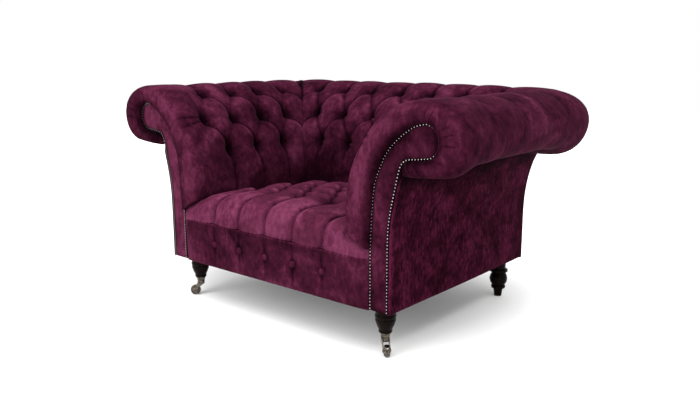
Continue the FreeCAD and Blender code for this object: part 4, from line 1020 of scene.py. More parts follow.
def gathers(x):
    """Small gathers along the seam between the seat and its border."""
    return fold(x / GATHER_PITCH + 0.2 * np.sin(x * 37.0))


def nearest_row(values, wanted, barred=False):
    """Number of the row whose value is nearest to the one wanted, barred rows left out."""
    return int(np.argmin(np.abs(values - wanted) + 10 * barred))


def seat_height(x, depth_y, lift):
    """Height of the seat above its seam, lowered towards both sides."""
    nose_fall = np.interp(np.abs(x), FALL_FROM, NOSE_FALL)
    side_fall = np.interp(np.abs(x), FALL_FROM, SIDE_FALL)
    scale = nose_fall + (side_fall - nose_fall) * smooth_step(depth_y, 0.05, 0.13)
    crown = SEAT_CROWN * (x / CROWN_HALF) ** 2 * np.clip(lift / CROWN_LIFT, 0, 1) * (np.abs(x) < 0.33)
    return lift * scale - crown


def seat_cover(cover):
    """Points, faces, button spots and painted shading of the tufted seat with its rolled nosing."""
    line = evenly(softened(spline(SEAT_PROFILE), SEAT_PASSES), cover.cloth_step)
    inward = right_of(line)
    along = run_length(line)[:, None]
    x = across_seat(cover.cloth_step)
    depth_y = line[:, 0, None]
    crown_row = nearest_row(line[:, 0], NOSE_DEPTH, line[:, 1] < NOSE_HEIGHT)
    top_only = (np.arange(len(line)) >= crown_row)[:, None]
    on_top = np.where(top_only, depth_y, line[crown_row, 0])
    up = np.clip((on_top - SEAT_FIRST) / SEAT_ROW_PITCH, 0.0, SEAT_ROWS - 1.0)
    across = np.clip(x / SEAT_HALF_PITCH, -5.0, 5.0)
    first = (across + up) / 2
    second = (up - across) / 2
    height = tufted(lipped(first), lipped(second), cover.saddle)
    # Painted shade in the folds and painted highlight on their lips
    painted_shading = np.clip(creased(first, SEAT_FOLD_GAP) + creased(second, SEAT_FOLD_GAP), -1.0, 0.35)
    front_row = along[nearest_row(line[:, 0], SEAT_BUTTONS[0][1]), 0]
    rear_row = along[nearest_row(line[:, 0], SEAT_BUTTONS[-1][1]), 0]
    nose = along[crown_row, 0]
    places = (0.0, 0.02, nose * 0.6, nose, front_row - 0.05, front_row, rear_row, rear_row + 0.06,
              along[-1, 0])
    share = np.interp(along, places, SEAT_FOLD_SHARES)
    side = 1.0 - smooth_step(np.abs(x), TUFTED_HALF, 0.330)
    dip = cover.seat_fold * share * (1.0 - height) * (0.25 + 0.75 * side)
    pits = button_pits(x, depth_y, SEAT_BUTTONS, cover.pit_radius) * top_only
    dip = dip + cover.seat_pit * pits
    # Painted shade in the pits; the nose keeps only a share of the painted shading
    painted_shading = painted_shading * share * side * (1.0 - pits) * np.where(top_only, 1.0, NOSE_PAINTED_SHADING) - SEAT_PIT_DARK * pits
    dip = dip + button_puckers(x, depth_y, SEAT_BUTTONS, cover.pucker) * top_only
    dip = dip + GATHER_DEPTH * np.exp(-along / 0.010) * gathers(x)
    # Painted highlight along the gathers at the seam
    painted_shading = painted_shading + GATHER_LIGHT * np.exp(-along / 0.018) * gathers(x)
    dip = dip + SEAT_SWAY * (1.0 + ripple(x * 21.0 + along * 15.0, x * 9.0 - along * 27.0))
    y = depth_y + inward[:, 0, None] * dip
    y = y + end_recess(x) * (1.0 - smooth_step(depth_y, -0.010, 0.020))
    z = line[:, 1, None] + inward[:, 1, None] * dip
    z = SEAM_Z + seat_height(x, depth_y, z - SEAM_Z)
    outer = np.stack(np.broadcast_arrays(x, y, z), axis=-1)
    hold = np.maximum(grip(dip, SEAT_GRIP_FROM, SEAT_GRIP_TO), smooth_step(np.abs(x), TUFTED_HALF, 0.325))
    outer = swell("seat_cloth", outer, hold, outer - np.array(SEAT_HEART), cover)
    spots = []
    for place_x, place_y in SEAT_BUTTONS:
        row = nearest_row(line[:, 0], place_y, line[:, 1] < SEAT_TOP)
        spots.append((outer[row, nearest_row(x[0], place_x)], (0.0, 0.0, 1.0)))
    faces = band_faces(numbered(*outer.shape[:2]))
    return outer.reshape(-1, 3), faces, spots, np.broadcast_to(painted_shading, outer.shape[:2])


BORDER_PROFILE = ((0.012, 0.152), (-0.008, 0.1522), (-0.0175, 0.158), (-0.0205, 0.178), (-0.0228, 0.230),
                  (-0.0238, 0.280), (-0.0246, 0.303), (-0.0244, 0.3082), (-0.010, 0.3092), (0.012, 0.3092))
BORDER_PASSES = 2
BORDER_PLEAT_GAP = 2 * SEAT_HALF_PITCH
BORDER_HEIGHTS = (0.152, 0.165, 0.200, BORDER_ROW, 0.290, 0.306)
BORDER_PLEAT_SHARES = (0.0, 0.35, 0.6, 1.0, 0.55, 0.0)
BORDER_SWAY = 0.0012
BORDER_PIT_RADIUS = 0.020
# Painted shade in the pleat lines and round the buttons, and painted shadow under the seat's nosing
BORDER_DARK = 0.55
BORDER_TOP_DARK = 0.22


def border_cover(cover):
    """Points, faces, button spots and painted shading of the pleated border under the seat."""
    line = softened(evenly(spline(BORDER_PROFILE), cover.cloth_step), BORDER_PASSES)
    x = across_seat(cover.cloth_step)
    depth_y = line[:, 0, None]
    up = line[:, 1, None]
    pleated = np.abs(x) < TUFTED_HALF
    pleats = np.where(pleated, lipped(x / BORDER_PLEAT_GAP), 1.0)
    lines = np.where(pleated, creased(x / BORDER_PLEAT_GAP, BORDER_PLEAT_GAP), 0.0)
    share = np.interp(up, BORDER_HEIGHTS, BORDER_PLEAT_SHARES)
    dip = cover.border_pleat * share * (1.0 - pleats)
    dip = dip + BORDER_SWAY * (1.0 + ripple(x * 25.0 + up * 20.0, x * 11.0 - up * 33.0))
    front = smooth_step(-depth_y, 0.006, 0.016)
    y = depth_y + dip * front
    y = y + end_recess(x) * front
    rings = button_pits(x, up, BORDER_BUTTONS, BORDER_PIT_RADIUS)
    # Painted shade in pleat lines and button rings, painted highlight at the seam's gathers, painted shadow
    # under the nosing
    painted_shading = BORDER_DARK * share * lines - BORDER_DARK * rings
    painted_shading = painted_shading + GATHER_LIGHT * gathers(x) * np.exp(-np.abs(0.309 - up) / 0.004)
    painted_shading = painted_shading - BORDER_TOP_DARK * np.exp(-np.abs(0.300 - up) / 0.030)
    outer = np.stack(np.broadcast_arrays(x, y, up), axis=-1)
    row = nearest_row(line[:, 1], BORDER_ROW, line[:, 0] > -0.010)
    spots = [(outer[row, nearest_row(x[0], place_x)], (0.0, -1.0, 0.0)) for place_x, _ in BORDER_BUTTONS]
    faces = band_faces(numbered(*outer.shape[:2]))
    return outer.reshape(-1, 3), faces, spots, np.broadcast_to(painted_shading, outer.shape[:2])


# Scroll facing, as (out from the middle, up): inner edge, scroll eye, outer edge and foot
FACING_INNER = ((0.413, BASE_Z + 0.008), (0.413, 0.250))
FACING_EYE_DEGREES = (90.0, 75.0, 60.0, 45.0, 30.0, 15.0, 0.0, -15.0, -30.0, -45.0, -60.0, -75.0)
FACING_OUTER = ((0.518, 0.563), (0.508, 0.520), (0.4935, 0.457), (0.4855, 0.400), (0.4835, 0.345),
                (0.4835, 0.250), (0.4835, BASE_Z + 0.008))
FACING_FOOT = ((0.483, BASE_Z + 0.0025), (0.4785, BASE_Z), (0.418, BASE_Z), (0.4135, BASE_Z + 0.0025))
FACING_SPLINE_STEPS = 12


def facing_outline(step):
    """Closed scroll outline of a facing, from the inner foot round to the outer foot and back."""
    eye = circle_points(EYE, (EYE_RADIUS, EYE_RADIUS), FACING_EYE_DEGREES)
    nodes = np.vstack((FACING_INNER, CORE, eye, ARM_CORE_END, FACING_OUTER))
    line = spline(nodes, FACING_SPLINE_STEPS)
    loop = np.vstack((line, FACING_FOOT, line[:1]))
    return evenly(loop, step)[:-1]


def nearest(points, loop):
    """Distance from each point to the loop's points."""
    return np.sqrt(((points[:, None, :] - loop[None, :, :]) ** 2).sum(axis=2)).min(axis=1)


def domed_panel(loop, step, crown, ease):
    """A stuffed panel over a closed loop: flat points with their rise, and its triangles."""
    low, high = loop.min(axis=0), loop.max(axis=0)
    across, up = np.meshgrid(np.arange(low[0], high[0], step), np.arange(low[1], high[1], step))
    lattice = np.stack((across.ravel(), up.ravel()), axis=1)
    lattice[:, 0] += (np.round((lattice[:, 1] - low[1]) / step) % 2) * step / 2
    lattice = lattice[nearest(lattice, loop) > step * 0.6]
    seeds = [Vector(p) for p in np.vstack((loop, lattice)).tolist()]
    count = len(loop)
    edges = [(k, (k + 1) % count) for k in range(count)]
    flat, _, faces, _, _, _ = delaunay_2d_cdt(seeds, edges, [], 1, TINY)
    flat = np.array([tuple(p) for p in flat])
    rise = crown * (1.0 - np.exp(-nearest(flat, loop) / ease))
    return flat, rise, [list(face) for face in faces], count


FACING_STEP = 0.005
FACING_MESH = 0.006
FACING_EASE = 0.007
FACING_EDGE = 0.0015
FACING_SWAY = 0.0006
# Painted shade over the facing, deeper along its edge by the nails and on the eye's outer side
FACING_DARK = 0.10
FACING_EDGE_DARK = 0.40
FACING_EDGE_WIDTH = 0.010
FACING_EYE_DARK = 0.70
BOARD_GAP = 0.0003

# Painted light: the left facing is painted lighter than the right
LEFT_FACING_PAINTED_LIGHT = 0.42


def facing_cover(cover):
    """Points, faces and painted shading of the right facing: a domed front with a rolled edge and a flat
    back.
    """
    loop = facing_outline(FACING_STEP)
    flat, rise, faces, count = domed_panel(loop, FACING_MESH, cover.facing_crown, FACING_EASE)
    out, up = flat.T
    sway = FACING_SWAY * ripple(out * 41.0 + up * 13.0, up * 23.0 - out * 17.0)
    front = np.stack((out, FACING_EDGE - rise - sway * rise / cover.facing_crown, up), axis=1)
    rim = np.stack((loop[:, 0], np.full(count, BOARD_DEPTH - BOARD_GAP), loop[:, 1]), axis=1)
    # Painted shade over the facing, deepest along its edge and on the eye's outer side
    painted_shading = -FACING_DARK - FACING_EDGE_DARK * np.exp(-nearest(flat, loop) / FACING_EDGE_WIDTH)
    painted_shading = painted_shading - FACING_EYE_DARK * smooth_step(out, 0.612, 0.642)
    points = np.vstack((front, rim))
    start = len(front)
    for k in range(count):
        after = (k + 1) % count
        faces.append([k, after, start + after, start + k])
    faces.append(list(range(start, start + count)))
    return points, faces, np.pad(painted_shading, (0, count))


PANEL_REAR = ((0.4955, 0.152), (0.4955, 0.250), (0.4955, 0.330), (0.499, 0.390), (0.508, 0.446),
              (0.523, 0.500), (0.544, 0.547), (0.560, 0.578), (0.572, 0.600))
PANEL_FRONT = ((0.490, 0.152), (0.490, 0.250), (0.490, 0.330), (0.4915, 0.390), (0.4985, 0.446),
               (0.510, 0.500), (0.5225, 0.547), (0.532, 0.578))
PANEL_RISE = 0.426
PANEL_STEP = 0.008
PANEL_ROWS = 90
PANEL_RIM = 0.0045
PANEL_LIP = 0.0050
PANEL_LIP_END = 0.006
PANEL_START = 0.0135
PANEL_THIN = 0.0056
PANEL_THICKER = 0.0094
PANEL_FOOT_ROUND = 0.004
PANEL_NOTCH = 0.0085
PANEL_REAR_GAP = 0.0005
# Painted highlight on the panel's rolled lip, and painted shadow under the roll
PANEL_LIP_LIGHT = 0.40
UNDER_ROLL_DARK = 1.2
UNDER_ROLL_RUN = 0.032
UNDER_ROLL_GAP = 0.030
EDGE_RUN = 0.006
BACK_COLUMNS = 121
BACK_RISE = 0.395
BACK_EDGE_ROUND = 0.005


def under_shade(up):
    """Painted shadow on an outside panel, darkest where it meets the roll above."""
    below = np.clip(BASE_Z + PANEL_RISE - UNDER_ROLL_GAP - up, 0.0, None)
    return -UNDER_ROLL_DARK * np.exp(-below / UNDER_ROLL_RUN)


def rolled_edge(distance):
    """Share of its full rise that a panel has at a distance from its rolled edge."""
    share = np.clip(distance / EDGE_RUN, 0.0, 1.0)
    return np.sqrt(1.0 - (1.0 - share) ** 2)


def side_panel_cover(cover):
    """Points, faces and painted shading of the right outside panel: flared, sprung, with a rolled front edge.
    """
    face = evenly(spline(PANEL_REAR), PANEL_STEP)
    ahead = evenly(spline(PANEL_FRONT), PANEL_STEP)
    ahead = np.interp(face[:, 1], ahead[:, 1], ahead[:, 0]) - face[:, 0]
    outward = right_of(face)
    turns = np.linspace(0.0, math.pi / 2, 5)
    lip = PANEL_RIM * (1.0 - np.cos(turns)) - PANEL_LIP
    body = np.linspace(PANEL_START, BACK_CORE_DEPTH - PANEL_REAR_GAP, PANEL_ROWS)
    depths = np.concatenate((lip, [PANEL_LIP_END], body))[:, None]
    shrink = np.concatenate((PANEL_RIM * (1.0 - np.sin(turns)), np.zeros(1 + len(body))))[:, None]
    thick = PANEL_THIN + PANEL_THICKER * smooth_step(depths, 0.002, PANEL_START)
    up = face[None, :, 1]
    bulge = cover.panel_crown * np.sin(np.pi * np.clip(depths / BACK_CORE_DEPTH, 0, 1))
    bulge = bulge * np.sin(np.pi * np.clip((up - BASE_Z) / PANEL_RISE, 0, 1))
    sway = ripple(depths * 27.0 + up * 9.0, depths * 61.0 + up * 5.0 + 1.1)
    out = bulge * (1.0 + 0.35 * sway) - shrink
    out = out - PANEL_FOOT_ROUND * (1.0 - rolled_edge(up - BASE_Z))
    turn_in = (1.0 - smooth_step(depths, 0.0, 0.45)) * ahead[None, :]
    x = face[None, :, 0] + outward[None, :, 0] * out + turn_in
    z = up + outward[None, :, 1] * out
    near_front = 1.0 - smooth_step(depths, 0.0, 0.012)
    y = depths + PANEL_NOTCH * smooth_step(up, 0.525, 0.560) * near_front
    outer = np.stack((x, y, z), axis=-1)
    back_x = face[None, :, 0] - outward[None, :, 0] * thick
    back_z = face[None, :, 1] - outward[None, :, 1] * thick * 0.2
    inner = np.stack((back_x + turn_in, y, back_z), axis=-1)
    # Painted shadow under the roll and painted highlight along the rolled lip
    painted_shading = under_shade(up) * (1.0 - 0.35 * smooth_step(depths, 0.10, 0.50))
    painted_shading = painted_shading + PANEL_LIP_LIGHT * (1.0 - smooth_step(depths, -0.002, PANEL_LIP_END))
    faces = slab_faces(numbered(*outer.shape[:2]))
    return np.vstack((outer.reshape(-1, 3), inner.reshape(-1, 3))), faces, np.tile(painted_shading.ravel(), 2)


def back_panel_cover(cover):
    """Points, faces and painted shading of the outside back, as wide as the flared side panels."""
    edge = evenly(spline(PANEL_REAR[:-2]), PANEL_STEP)
    half = edge[:, 0, None]
    up = edge[:, 1, None]
    share = np.linspace(-1.0, 1.0, BACK_COLUMNS)[None, :]
    x = half * share
    rounding = BACK_EDGE_ROUND * (1.0 - rolled_edge((1.0 - np.abs(share)) * half) * rolled_edge(up - BASE_Z))
    bulge = cover.panel_crown * np.cos(np.pi / 2 * share) * np.sin(np.pi * (up - BASE_Z) / BACK_RISE)
    sway = ripple(x * 19.0 + up * 7.0, x * 43.0 + up * 4.0 + 0.4)
    y = BACK_DEPTH - PANEL_REAR_GAP + np.maximum(bulge * (1.0 + 0.3 * sway), 0.0) - rounding
    outer = np.stack(np.broadcast_arrays(x, y, up), axis=-1)
    inner = np.stack(np.broadcast_arrays(x, BACK_CORE_DEPTH + BOARD_GAP, up), axis=-1)
    # Painted shadow under the roll, at half strength
    painted_shading = np.broadcast_to(0.5 * under_shade(up), outer.shape[:2])
    faces = slab_faces(numbered(*outer.shape[:2]))
    return np.vstack((outer.reshape(-1, 3), inner.reshape(-1, 3))), faces, np.tile(painted_shading.ravel(), 2)


# Repeated trim, made with geometry nodes

BUTTON_PROUD = 0.001
NAIL_INSET = 0.0055
NAIL_PROUD = 0.0026
NAIL_FOOT = 0.004


def trim_tree(name, inputs):
    """An empty node tree with a geometry input, named number inputs and a geometry output."""
    tree = bpy.data.node_groups.new(name, "GeometryNodeTree")
    kinds = {label: "NodeSocketFloat" for label in inputs}
    kinds["Material"] = "NodeSocketMaterial"
    tree.interface.new_socket("Geometry", in_out="INPUT", socket_type="NodeSocketGeometry")
    sockets = {}
    for label, kind in kinds.items():
        sockets[label] = tree.interface.new_socket(label, in_out="INPUT", socket_type=kind)
    tree.interface.new_socket("Geometry", in_out="OUTPUT", socket_type="NodeSocketGeometry")
    entry = tree.nodes.new("NodeGroupInput")
    leave = tree.nodes.new("NodeGroupOutput")
    return tree, sockets, entry, leave


def node_of(tree, kind, **links):
    """A node whose inputs are set from other sockets or plain values."""
    node = tree.nodes.new(kind)
    for label, value in links.items():
        socket = node.inputs[label.replace("_", " ")]
        if isinstance(value, bpy.types.NodeSocket):
            tree.links.new(value, socket)
        else:
            socket.default_value = value
    return node


def close_tree(tree, entry, leave, instances):
    """Realizes the instances, shades them and gives them their material."""
    real = node_of(tree, "GeometryNodeRealizeInstances", Geometry=instances)
    smooth = node_of(tree, "GeometryNodeSetShadeSmooth", Geometry=real.outputs[0])
    painted = node_of(tree, "GeometryNodeSetMaterial", Geometry=smooth.outputs[0],
                      Material=entry.outputs["Material"])
    tree.links.new(painted.outputs[0], leave.inputs["Geometry"])


def flattened(tree, entry, ball, radius, height):
    """The ball scaled to a button or nail of the tree's own sizes."""
    size = node_of(tree, "ShaderNodeCombineXYZ", X=entry.outputs[radius], Y=entry.outputs[radius],
                   Z=entry.outputs[height])
    return node_of(tree, "GeometryNodeTransform", Geometry=ball, Scale=size.outputs[0]).outputs[0]


def crowned(tree, ball):
    """The ball with its own height stored on it, so that the finish can paint a highlight on the crown."""
    place = tree.nodes.new("GeometryNodeInputPosition")
    parts = node_of(tree, "ShaderNodeSeparateXYZ", Vector=place.outputs[0])
    store = tree.nodes.new("GeometryNodeStoreNamedAttribute")
    store.data_type = "FLOAT"
    store.domain = "POINT"
    store.inputs["Name"].default_value = "crown"
    tree.links.new(ball, store.inputs["Geometry"])
    tree.links.new(parts.outputs["Z"], store.inputs["Value"])
    return store.outputs["Geometry"]


def button_tree():
    """Covered buttons on points, each facing along the points' own direction."""
    tree, sockets, entry, leave = trim_tree("Covered buttons", ("Button radius", "Button height"))
    ball = node_of(tree, "GeometryNodeMeshUVSphere", Segments=20, Rings=10, Radius=1.0)
    button = flattened(tree, entry, ball.outputs["Mesh"], "Button radius", "Button height")
    facing = tree.nodes.new("GeometryNodeInputNamedAttribute")
    facing.data_type = "FLOAT_VECTOR"
    facing.inputs["Name"].default_value = "facing"
    aim = node_of(tree, "FunctionNodeAlignRotationToVector", Vector=facing.outputs["Attribute"])
    aim.axis = "Z"
    spots = node_of(tree, "GeometryNodeMeshToPoints", Mesh=entry.outputs["Geometry"])
    placed = node_of(tree, "GeometryNodeInstanceOnPoints", Points=spots.outputs[0], Instance=button,
                     Rotation=aim.outputs[0])
    close_tree(tree, entry, leave, placed.outputs[0])
    return tree, sockets


def nail_tree():
    """Domed nails a pitch apart along a line, facing forward."""
    tree, sockets, entry, leave = trim_tree("Dome nails", ("Nail pitch", "Nail radius", "Nail height"))
    ball = node_of(tree, "GeometryNodeMeshUVSphere", Segments=10, Rings=6, Radius=1.0)
    nail = flattened(tree, entry, crowned(tree, ball.outputs["Mesh"]), "Nail radius", "Nail height")
    curve = node_of(tree, "GeometryNodeMeshToCurve", Mesh=entry.outputs["Geometry"])
    stations = tree.nodes.new("GeometryNodeResampleCurve")
    stations.mode = "LENGTH"
    tree.links.new(curve.outputs[0], stations.inputs["Curve"])
    tree.links.new(entry.outputs["Nail pitch"], stations.inputs["Length"])
    placed = node_of(tree, "GeometryNodeInstanceOnPoints", Points=stations.outputs[0], Instance=nail,
                     Rotation=(math.pi / 2, 0.0, 0.0))
    close_tree(tree, entry, leave, placed.outputs[0])
    return tree, sockets


def realised(name, guide, tree, sockets, values):
    """Runs a tree on a guide mesh and keeps the result as a plain mesh."""
    holder = new_object(f"{name}_guide", guide)
    modifier = holder.modifiers.new("Trim", "NODES")
    modifier.node_group = tree
    for label, value in values.items():
        modifier[sockets[label].identifier] = value
    bpy.context.view_layer.update()
    graph = bpy.context.evaluated_depsgraph_get()
    mesh = bpy.data.meshes.new_from_object(holder.evaluated_get(graph))
    bpy.data.objects.remove(holder)
    if not mesh.polygons:
        raise RuntimeError(f"{name}: the node tree made no faces")
    mesh.name = name
    return new_object(name, mesh)


def button_guide(name, spots):
    """Loose points with the direction that each button faces."""
    mesh = bpy.data.meshes.new(name)
    places = [np.asarray(place) + np.asarray(way) * BUTTON_PROUD for place, way in spots]
    mesh.from_pydata([tuple(p) for p in in_place(places)], [], [])
    facing = mesh.attributes.new("facing", "FLOAT_VECTOR", "POINT")
    facing.data.foreach_set("vector", np.asarray([way for _, way in spots], float).ravel())
    return mesh


# Cloth, stuffed by pressure between the points where it is held

CLOTH = {
    "quality": 5,
    "mass": 0.3,
    "tension_stiffness": 12.0,
    "compression_stiffness": 12.0,
    "shear_stiffness": 5.0,
    "bending_stiffness": 0.3,
}
CLOTH_STRIDE = 3
HOLD_LEVELS = 4
HELD_EDGE = 6.0
NO_MOVE = 1e-9


def every_few(count):
    """Numbers of every few grid lines, the last one always among them."""
    return np.unique(np.append(np.arange(0, count, CLOTH_STRIDE), count - 1))


def swell(name, grid, held, away, cover):
    """Cloth grid blown up between its held points by Blender's cloth, on every few of its lines."""
    rows = every_few(grid.shape[0])
    columns = every_few(grid.shape[1])
    coarse = grid[np.ix_(rows, columns)]
    across = coarse[1:, :-1] - coarse[:-1, :-1]
    along = coarse[:-1, 1:] - coarse[:-1, :-1]
    index = numbered(len(rows), len(columns))
    if (np.cross(across, along) * away[np.ix_(rows, columns)][:-1, :-1]).sum() < 0:
        index = index[:, ::-1]
    mesh = bpy.data.meshes.new(name)
    mesh.from_pydata(coarse.reshape(-1, 3).tolist(), [], grid_faces(index))
    piece = new_object(name, mesh)
    settle(piece, held[np.ix_(rows, columns)].ravel(), cover)
    puffed = np.empty(coarse.size)
    piece.data.vertices.foreach_get("co", puffed)
    bpy.data.objects.remove(piece)
    bpy.data.meshes.remove(mesh)
    move = puffed.reshape(coarse.shape) - coarse
    size = np.linalg.norm(move, axis=2, keepdims=True)
    move *= cover.swell_cap * np.tanh(size / cover.swell_cap) / np.maximum(size, NO_MOVE)
    return grid + widened(move, rows, columns, grid.shape)


def widened(move, rows, columns, shape):
    """A coarse field of moves on the full grid."""
    down = np.stack([[np.interp(np.arange(shape[0]), rows, move[:, k, axis]) for k in range(len(columns))]
                     for axis in range(3)], axis=-1)
    return np.stack([[np.interp(np.arange(shape[1]), columns, down[:, k, axis]) for k in range(shape[0])]
                     for axis in range(3)], axis=-1)


def settle(piece, held, cover):
    """Runs the cloth on a piece and keeps its last shape."""
    scene = bpy.context.scene
    group = piece.vertex_groups.new(name="held")
    steps = np.round(held * HOLD_LEVELS) / HOLD_LEVELS
    for level in np.unique(steps):
        group.add(np.nonzero(steps == level)[0].tolist(), float(level), "REPLACE")
    cloth = piece.modifiers.new("Stuffing", "CLOTH")
    settings = cloth.settings
    for key, value in CLOTH.items():
        setattr(settings, key, value)
    settings.vertex_group_mass = "held"
    settings.use_pressure = True
    settings.uniform_pressure_force = cover.swell_pressure
    settings.effector_weights.gravity = 0.0
    cloth.collision_settings.use_collision = False
    cloth.point_cache.frame_start = 1
    cloth.point_cache.frame_end = cover.swell_frames
    for number in range(1, cover.swell_frames + 1):
        scene.frame_set(number)
    graph = bpy.context.evaluated_depsgraph_get()
    shape = np.empty(len(piece.data.vertices) * 3)
    piece.evaluated_get(graph).data.vertices.foreach_get("co", shape)
    piece.modifiers.remove(cloth)
    piece.data.vertices.foreach_set("co", shape)
    scene.frame_set(1)


def grip(depth, low, high):
    """How firmly the cloth is held: loose on the pillows, fast in the folds and along all edges."""
    held = smooth_step(depth, low, high)
    rows = np.arange(depth.shape[0])
    columns = np.arange(depth.shape[1])
    near = np.minimum(np.minimum(rows, rows[::-1])[:, None], np.minimum(columns, columns[::-1])[None, :])
    return np.maximum(held, 1.0 - smooth_step(near, 0.0, HELD_EDGE))


# Sizes and looks that a user may change

class CoverSizes(PropertyGroup):
    cloth_step: FloatProperty(name="Cloth grid", description="Spacing of the cover's mesh",
                              default=0.0033, unit="LENGTH")
    fold_depth: FloatProperty(name="Fold depth", description="Depth of the folds between buttons",
                              default=0.026, unit="LENGTH")
    pit_depth: FloatProperty(name="Pit depth", description="How far a button is drawn in below the folds",
                             default=0.031, unit="LENGTH")
    pit_radius: FloatProperty(name="Pit radius", description="Width of the hollow round a button",
                              default=0.024, unit="LENGTH")
    seat_fold: FloatProperty(name="Seat fold depth", description="Depth of the seat's folds",
                             default=0.025, unit="LENGTH")
    seat_pit: FloatProperty(name="Seat pit depth", description="How far a seat button is drawn in",
                            default=0.028, unit="LENGTH")
    fold_sweep: FloatProperty(name="Fold sweep", description="How far folds leave a button sideways",
                              default=1.5)
    saddle: FloatProperty(name="Fold height", description="Height of a fold midway between its buttons",
                          default=0.52, subtype="FACTOR")
    pucker: FloatProperty(name="Pucker", description="Size of the wrinkles round a button",
                          default=0.0009, unit="LENGTH")
    valley_depth: FloatProperty(name="Corner valley", description="Depth of the inner corner's fold",
                                default=0.030, unit="LENGTH")
    seam_depth: FloatProperty(name="Corner seam", description="Depth of the seam over the roll",
                              default=0.0025, unit="LENGTH")
    swell_pressure: FloatProperty(name="Stuffing pressure", default=4.0,
                                  description="Pressure of the stuffing under the cloth")
    swell_frames: IntProperty(name="Stuffing steps", description="Steps of the cloth simulation", default=16)
    swell_cap: FloatProperty(name="Stuffing limit", description="Most that the cloth may rise",
                             default=0.008, unit="LENGTH")
    front_fullness: FloatProperty(name="Front fullness", description="Extra stuffing behind the front bead",
                                  default=0.009, unit="LENGTH")
    underside_lift: FloatProperty(name="Underside lift", default=0.042, unit="LENGTH",
                                  description="Rise of the roll's underside behind the bead")
    bead_reach: FloatProperty(name="Bead reach", default=0.024, unit="LENGTH",
                              description="How far the front bead stands before the facing")
    bead_back: FloatProperty(name="Bead start", description="Where the front bead begins to turn",
                             default=0.028, unit="LENGTH")
    bead_rows: IntProperty(name="Bead rows", description="Rows of mesh round the front bead", default=18)
    tail_drop: FloatProperty(name="Bead tail", description="Drop of the bead's tail at the seat",
                             default=0.013, unit="LENGTH")
    border_pleat: FloatProperty(name="Border pleat", description="Depth of the border's pleats",
                                default=0.007, unit="LENGTH")
    facing_crown: FloatProperty(name="Facing crown", description="Rise of the stuffed facing",
                                default=0.006, unit="LENGTH")
    panel_crown: FloatProperty(name="Panel crown", description="Rise of the outside panels",
                               default=0.005, unit="LENGTH")


class TrimSizes(PropertyGroup):
    button_radius: FloatProperty(name="Button radius", description="Radius of a covered button",
                                 default=0.011, unit="LENGTH")
    button_height: FloatProperty(name="Button height", description="Half the thickness of a button",
                                 default=0.0065, unit="LENGTH")
    nail_pitch: FloatProperty(name="Nail pitch", description="Distance between dome nails",
                              default=0.0098, unit="LENGTH")
    nail_radius: FloatProperty(name="Nail radius", description="Radius of a dome nail",
                               default=0.0041, unit="LENGTH")
    nail_height: FloatProperty(name="Nail height", description="Rise of a dome nail",
                               default=0.0032, unit="LENGTH")


class VelvetLook(PropertyGroup):
    # Colour stops for the velvet's random mottle, which its painted shade and painted light also reach
    shade: FloatVectorProperty(name="Shade", description="Velvet where the pile leans away", size=3,
                               subtype="COLOR", default=(0.0100, 0.0012, 0.0042))
    body: FloatVectorProperty(name="Body", description="Main colour of the velvet", size=3,
                              subtype="COLOR", default=(0.0330, 0.0046, 0.0135))
    light: FloatVectorProperty(name="Light", description="Velvet where the pile catches the light", size=3,
                               subtype="COLOR", default=(0.0830, 0.0150, 0.0380))
    sheen: FloatProperty(name="Sheen", description="Strength of the pile's edge glow", default=0.06,
                         subtype="FACTOR")
    sheen_tint: FloatVectorProperty(name="Sheen tint", description="Colour of the pile's edge glow", size=3,
                                    subtype="COLOR", default=(0.85, 0.20, 0.45))


class StudioLook(PropertyGroup):
    floor_colour: FloatVectorProperty(name="Floor", description="Colour of the floor", size=3,
                                      subtype="COLOR", default=(0.88, 0.88, 0.88))
    floor_lift: FloatProperty(name="Floor lift", default=0.085,
                              description="Brightness added where the camera sees the floor")
    ambient: FloatProperty(name="Ambient", description="Strength of the room's even light", default=0.78)
    key_power: FloatProperty(name="Key light", description="Power of the large front light", default=88.0,
                             unit="POWER")
    ceiling: FloatProperty(name="Ceiling light", description="Strength of the even light from above",
                           default=3.9)


# Studio: camera in metres, millimetres and degrees, and the two lights
CAMERA_PLACE = (1.639, -2.0195, 0.884)
CAMERA_TILT = 78.3915
CAMERA_TURN = 39.6672
CAMERA_LENS = 37.39
CAMERA_SENSOR = 36.0
CAMERA_CLIP = (0.05, 60.0)
KEY_SIZE = 2.4
KEY_PLACE = (-0.5, -3.2, 2.3)
KEY_TARGET = (0.0, 0.0, 0.40)
CEILING_SPREAD = 52.0
CEILING_LEAN = (12.0, 13.0, 0.0)
CEILING_HEIGHT = 4.0
FLOOR_HALF = 9.0
WHITE = (1.0, 1.0, 1.0, 1.0)


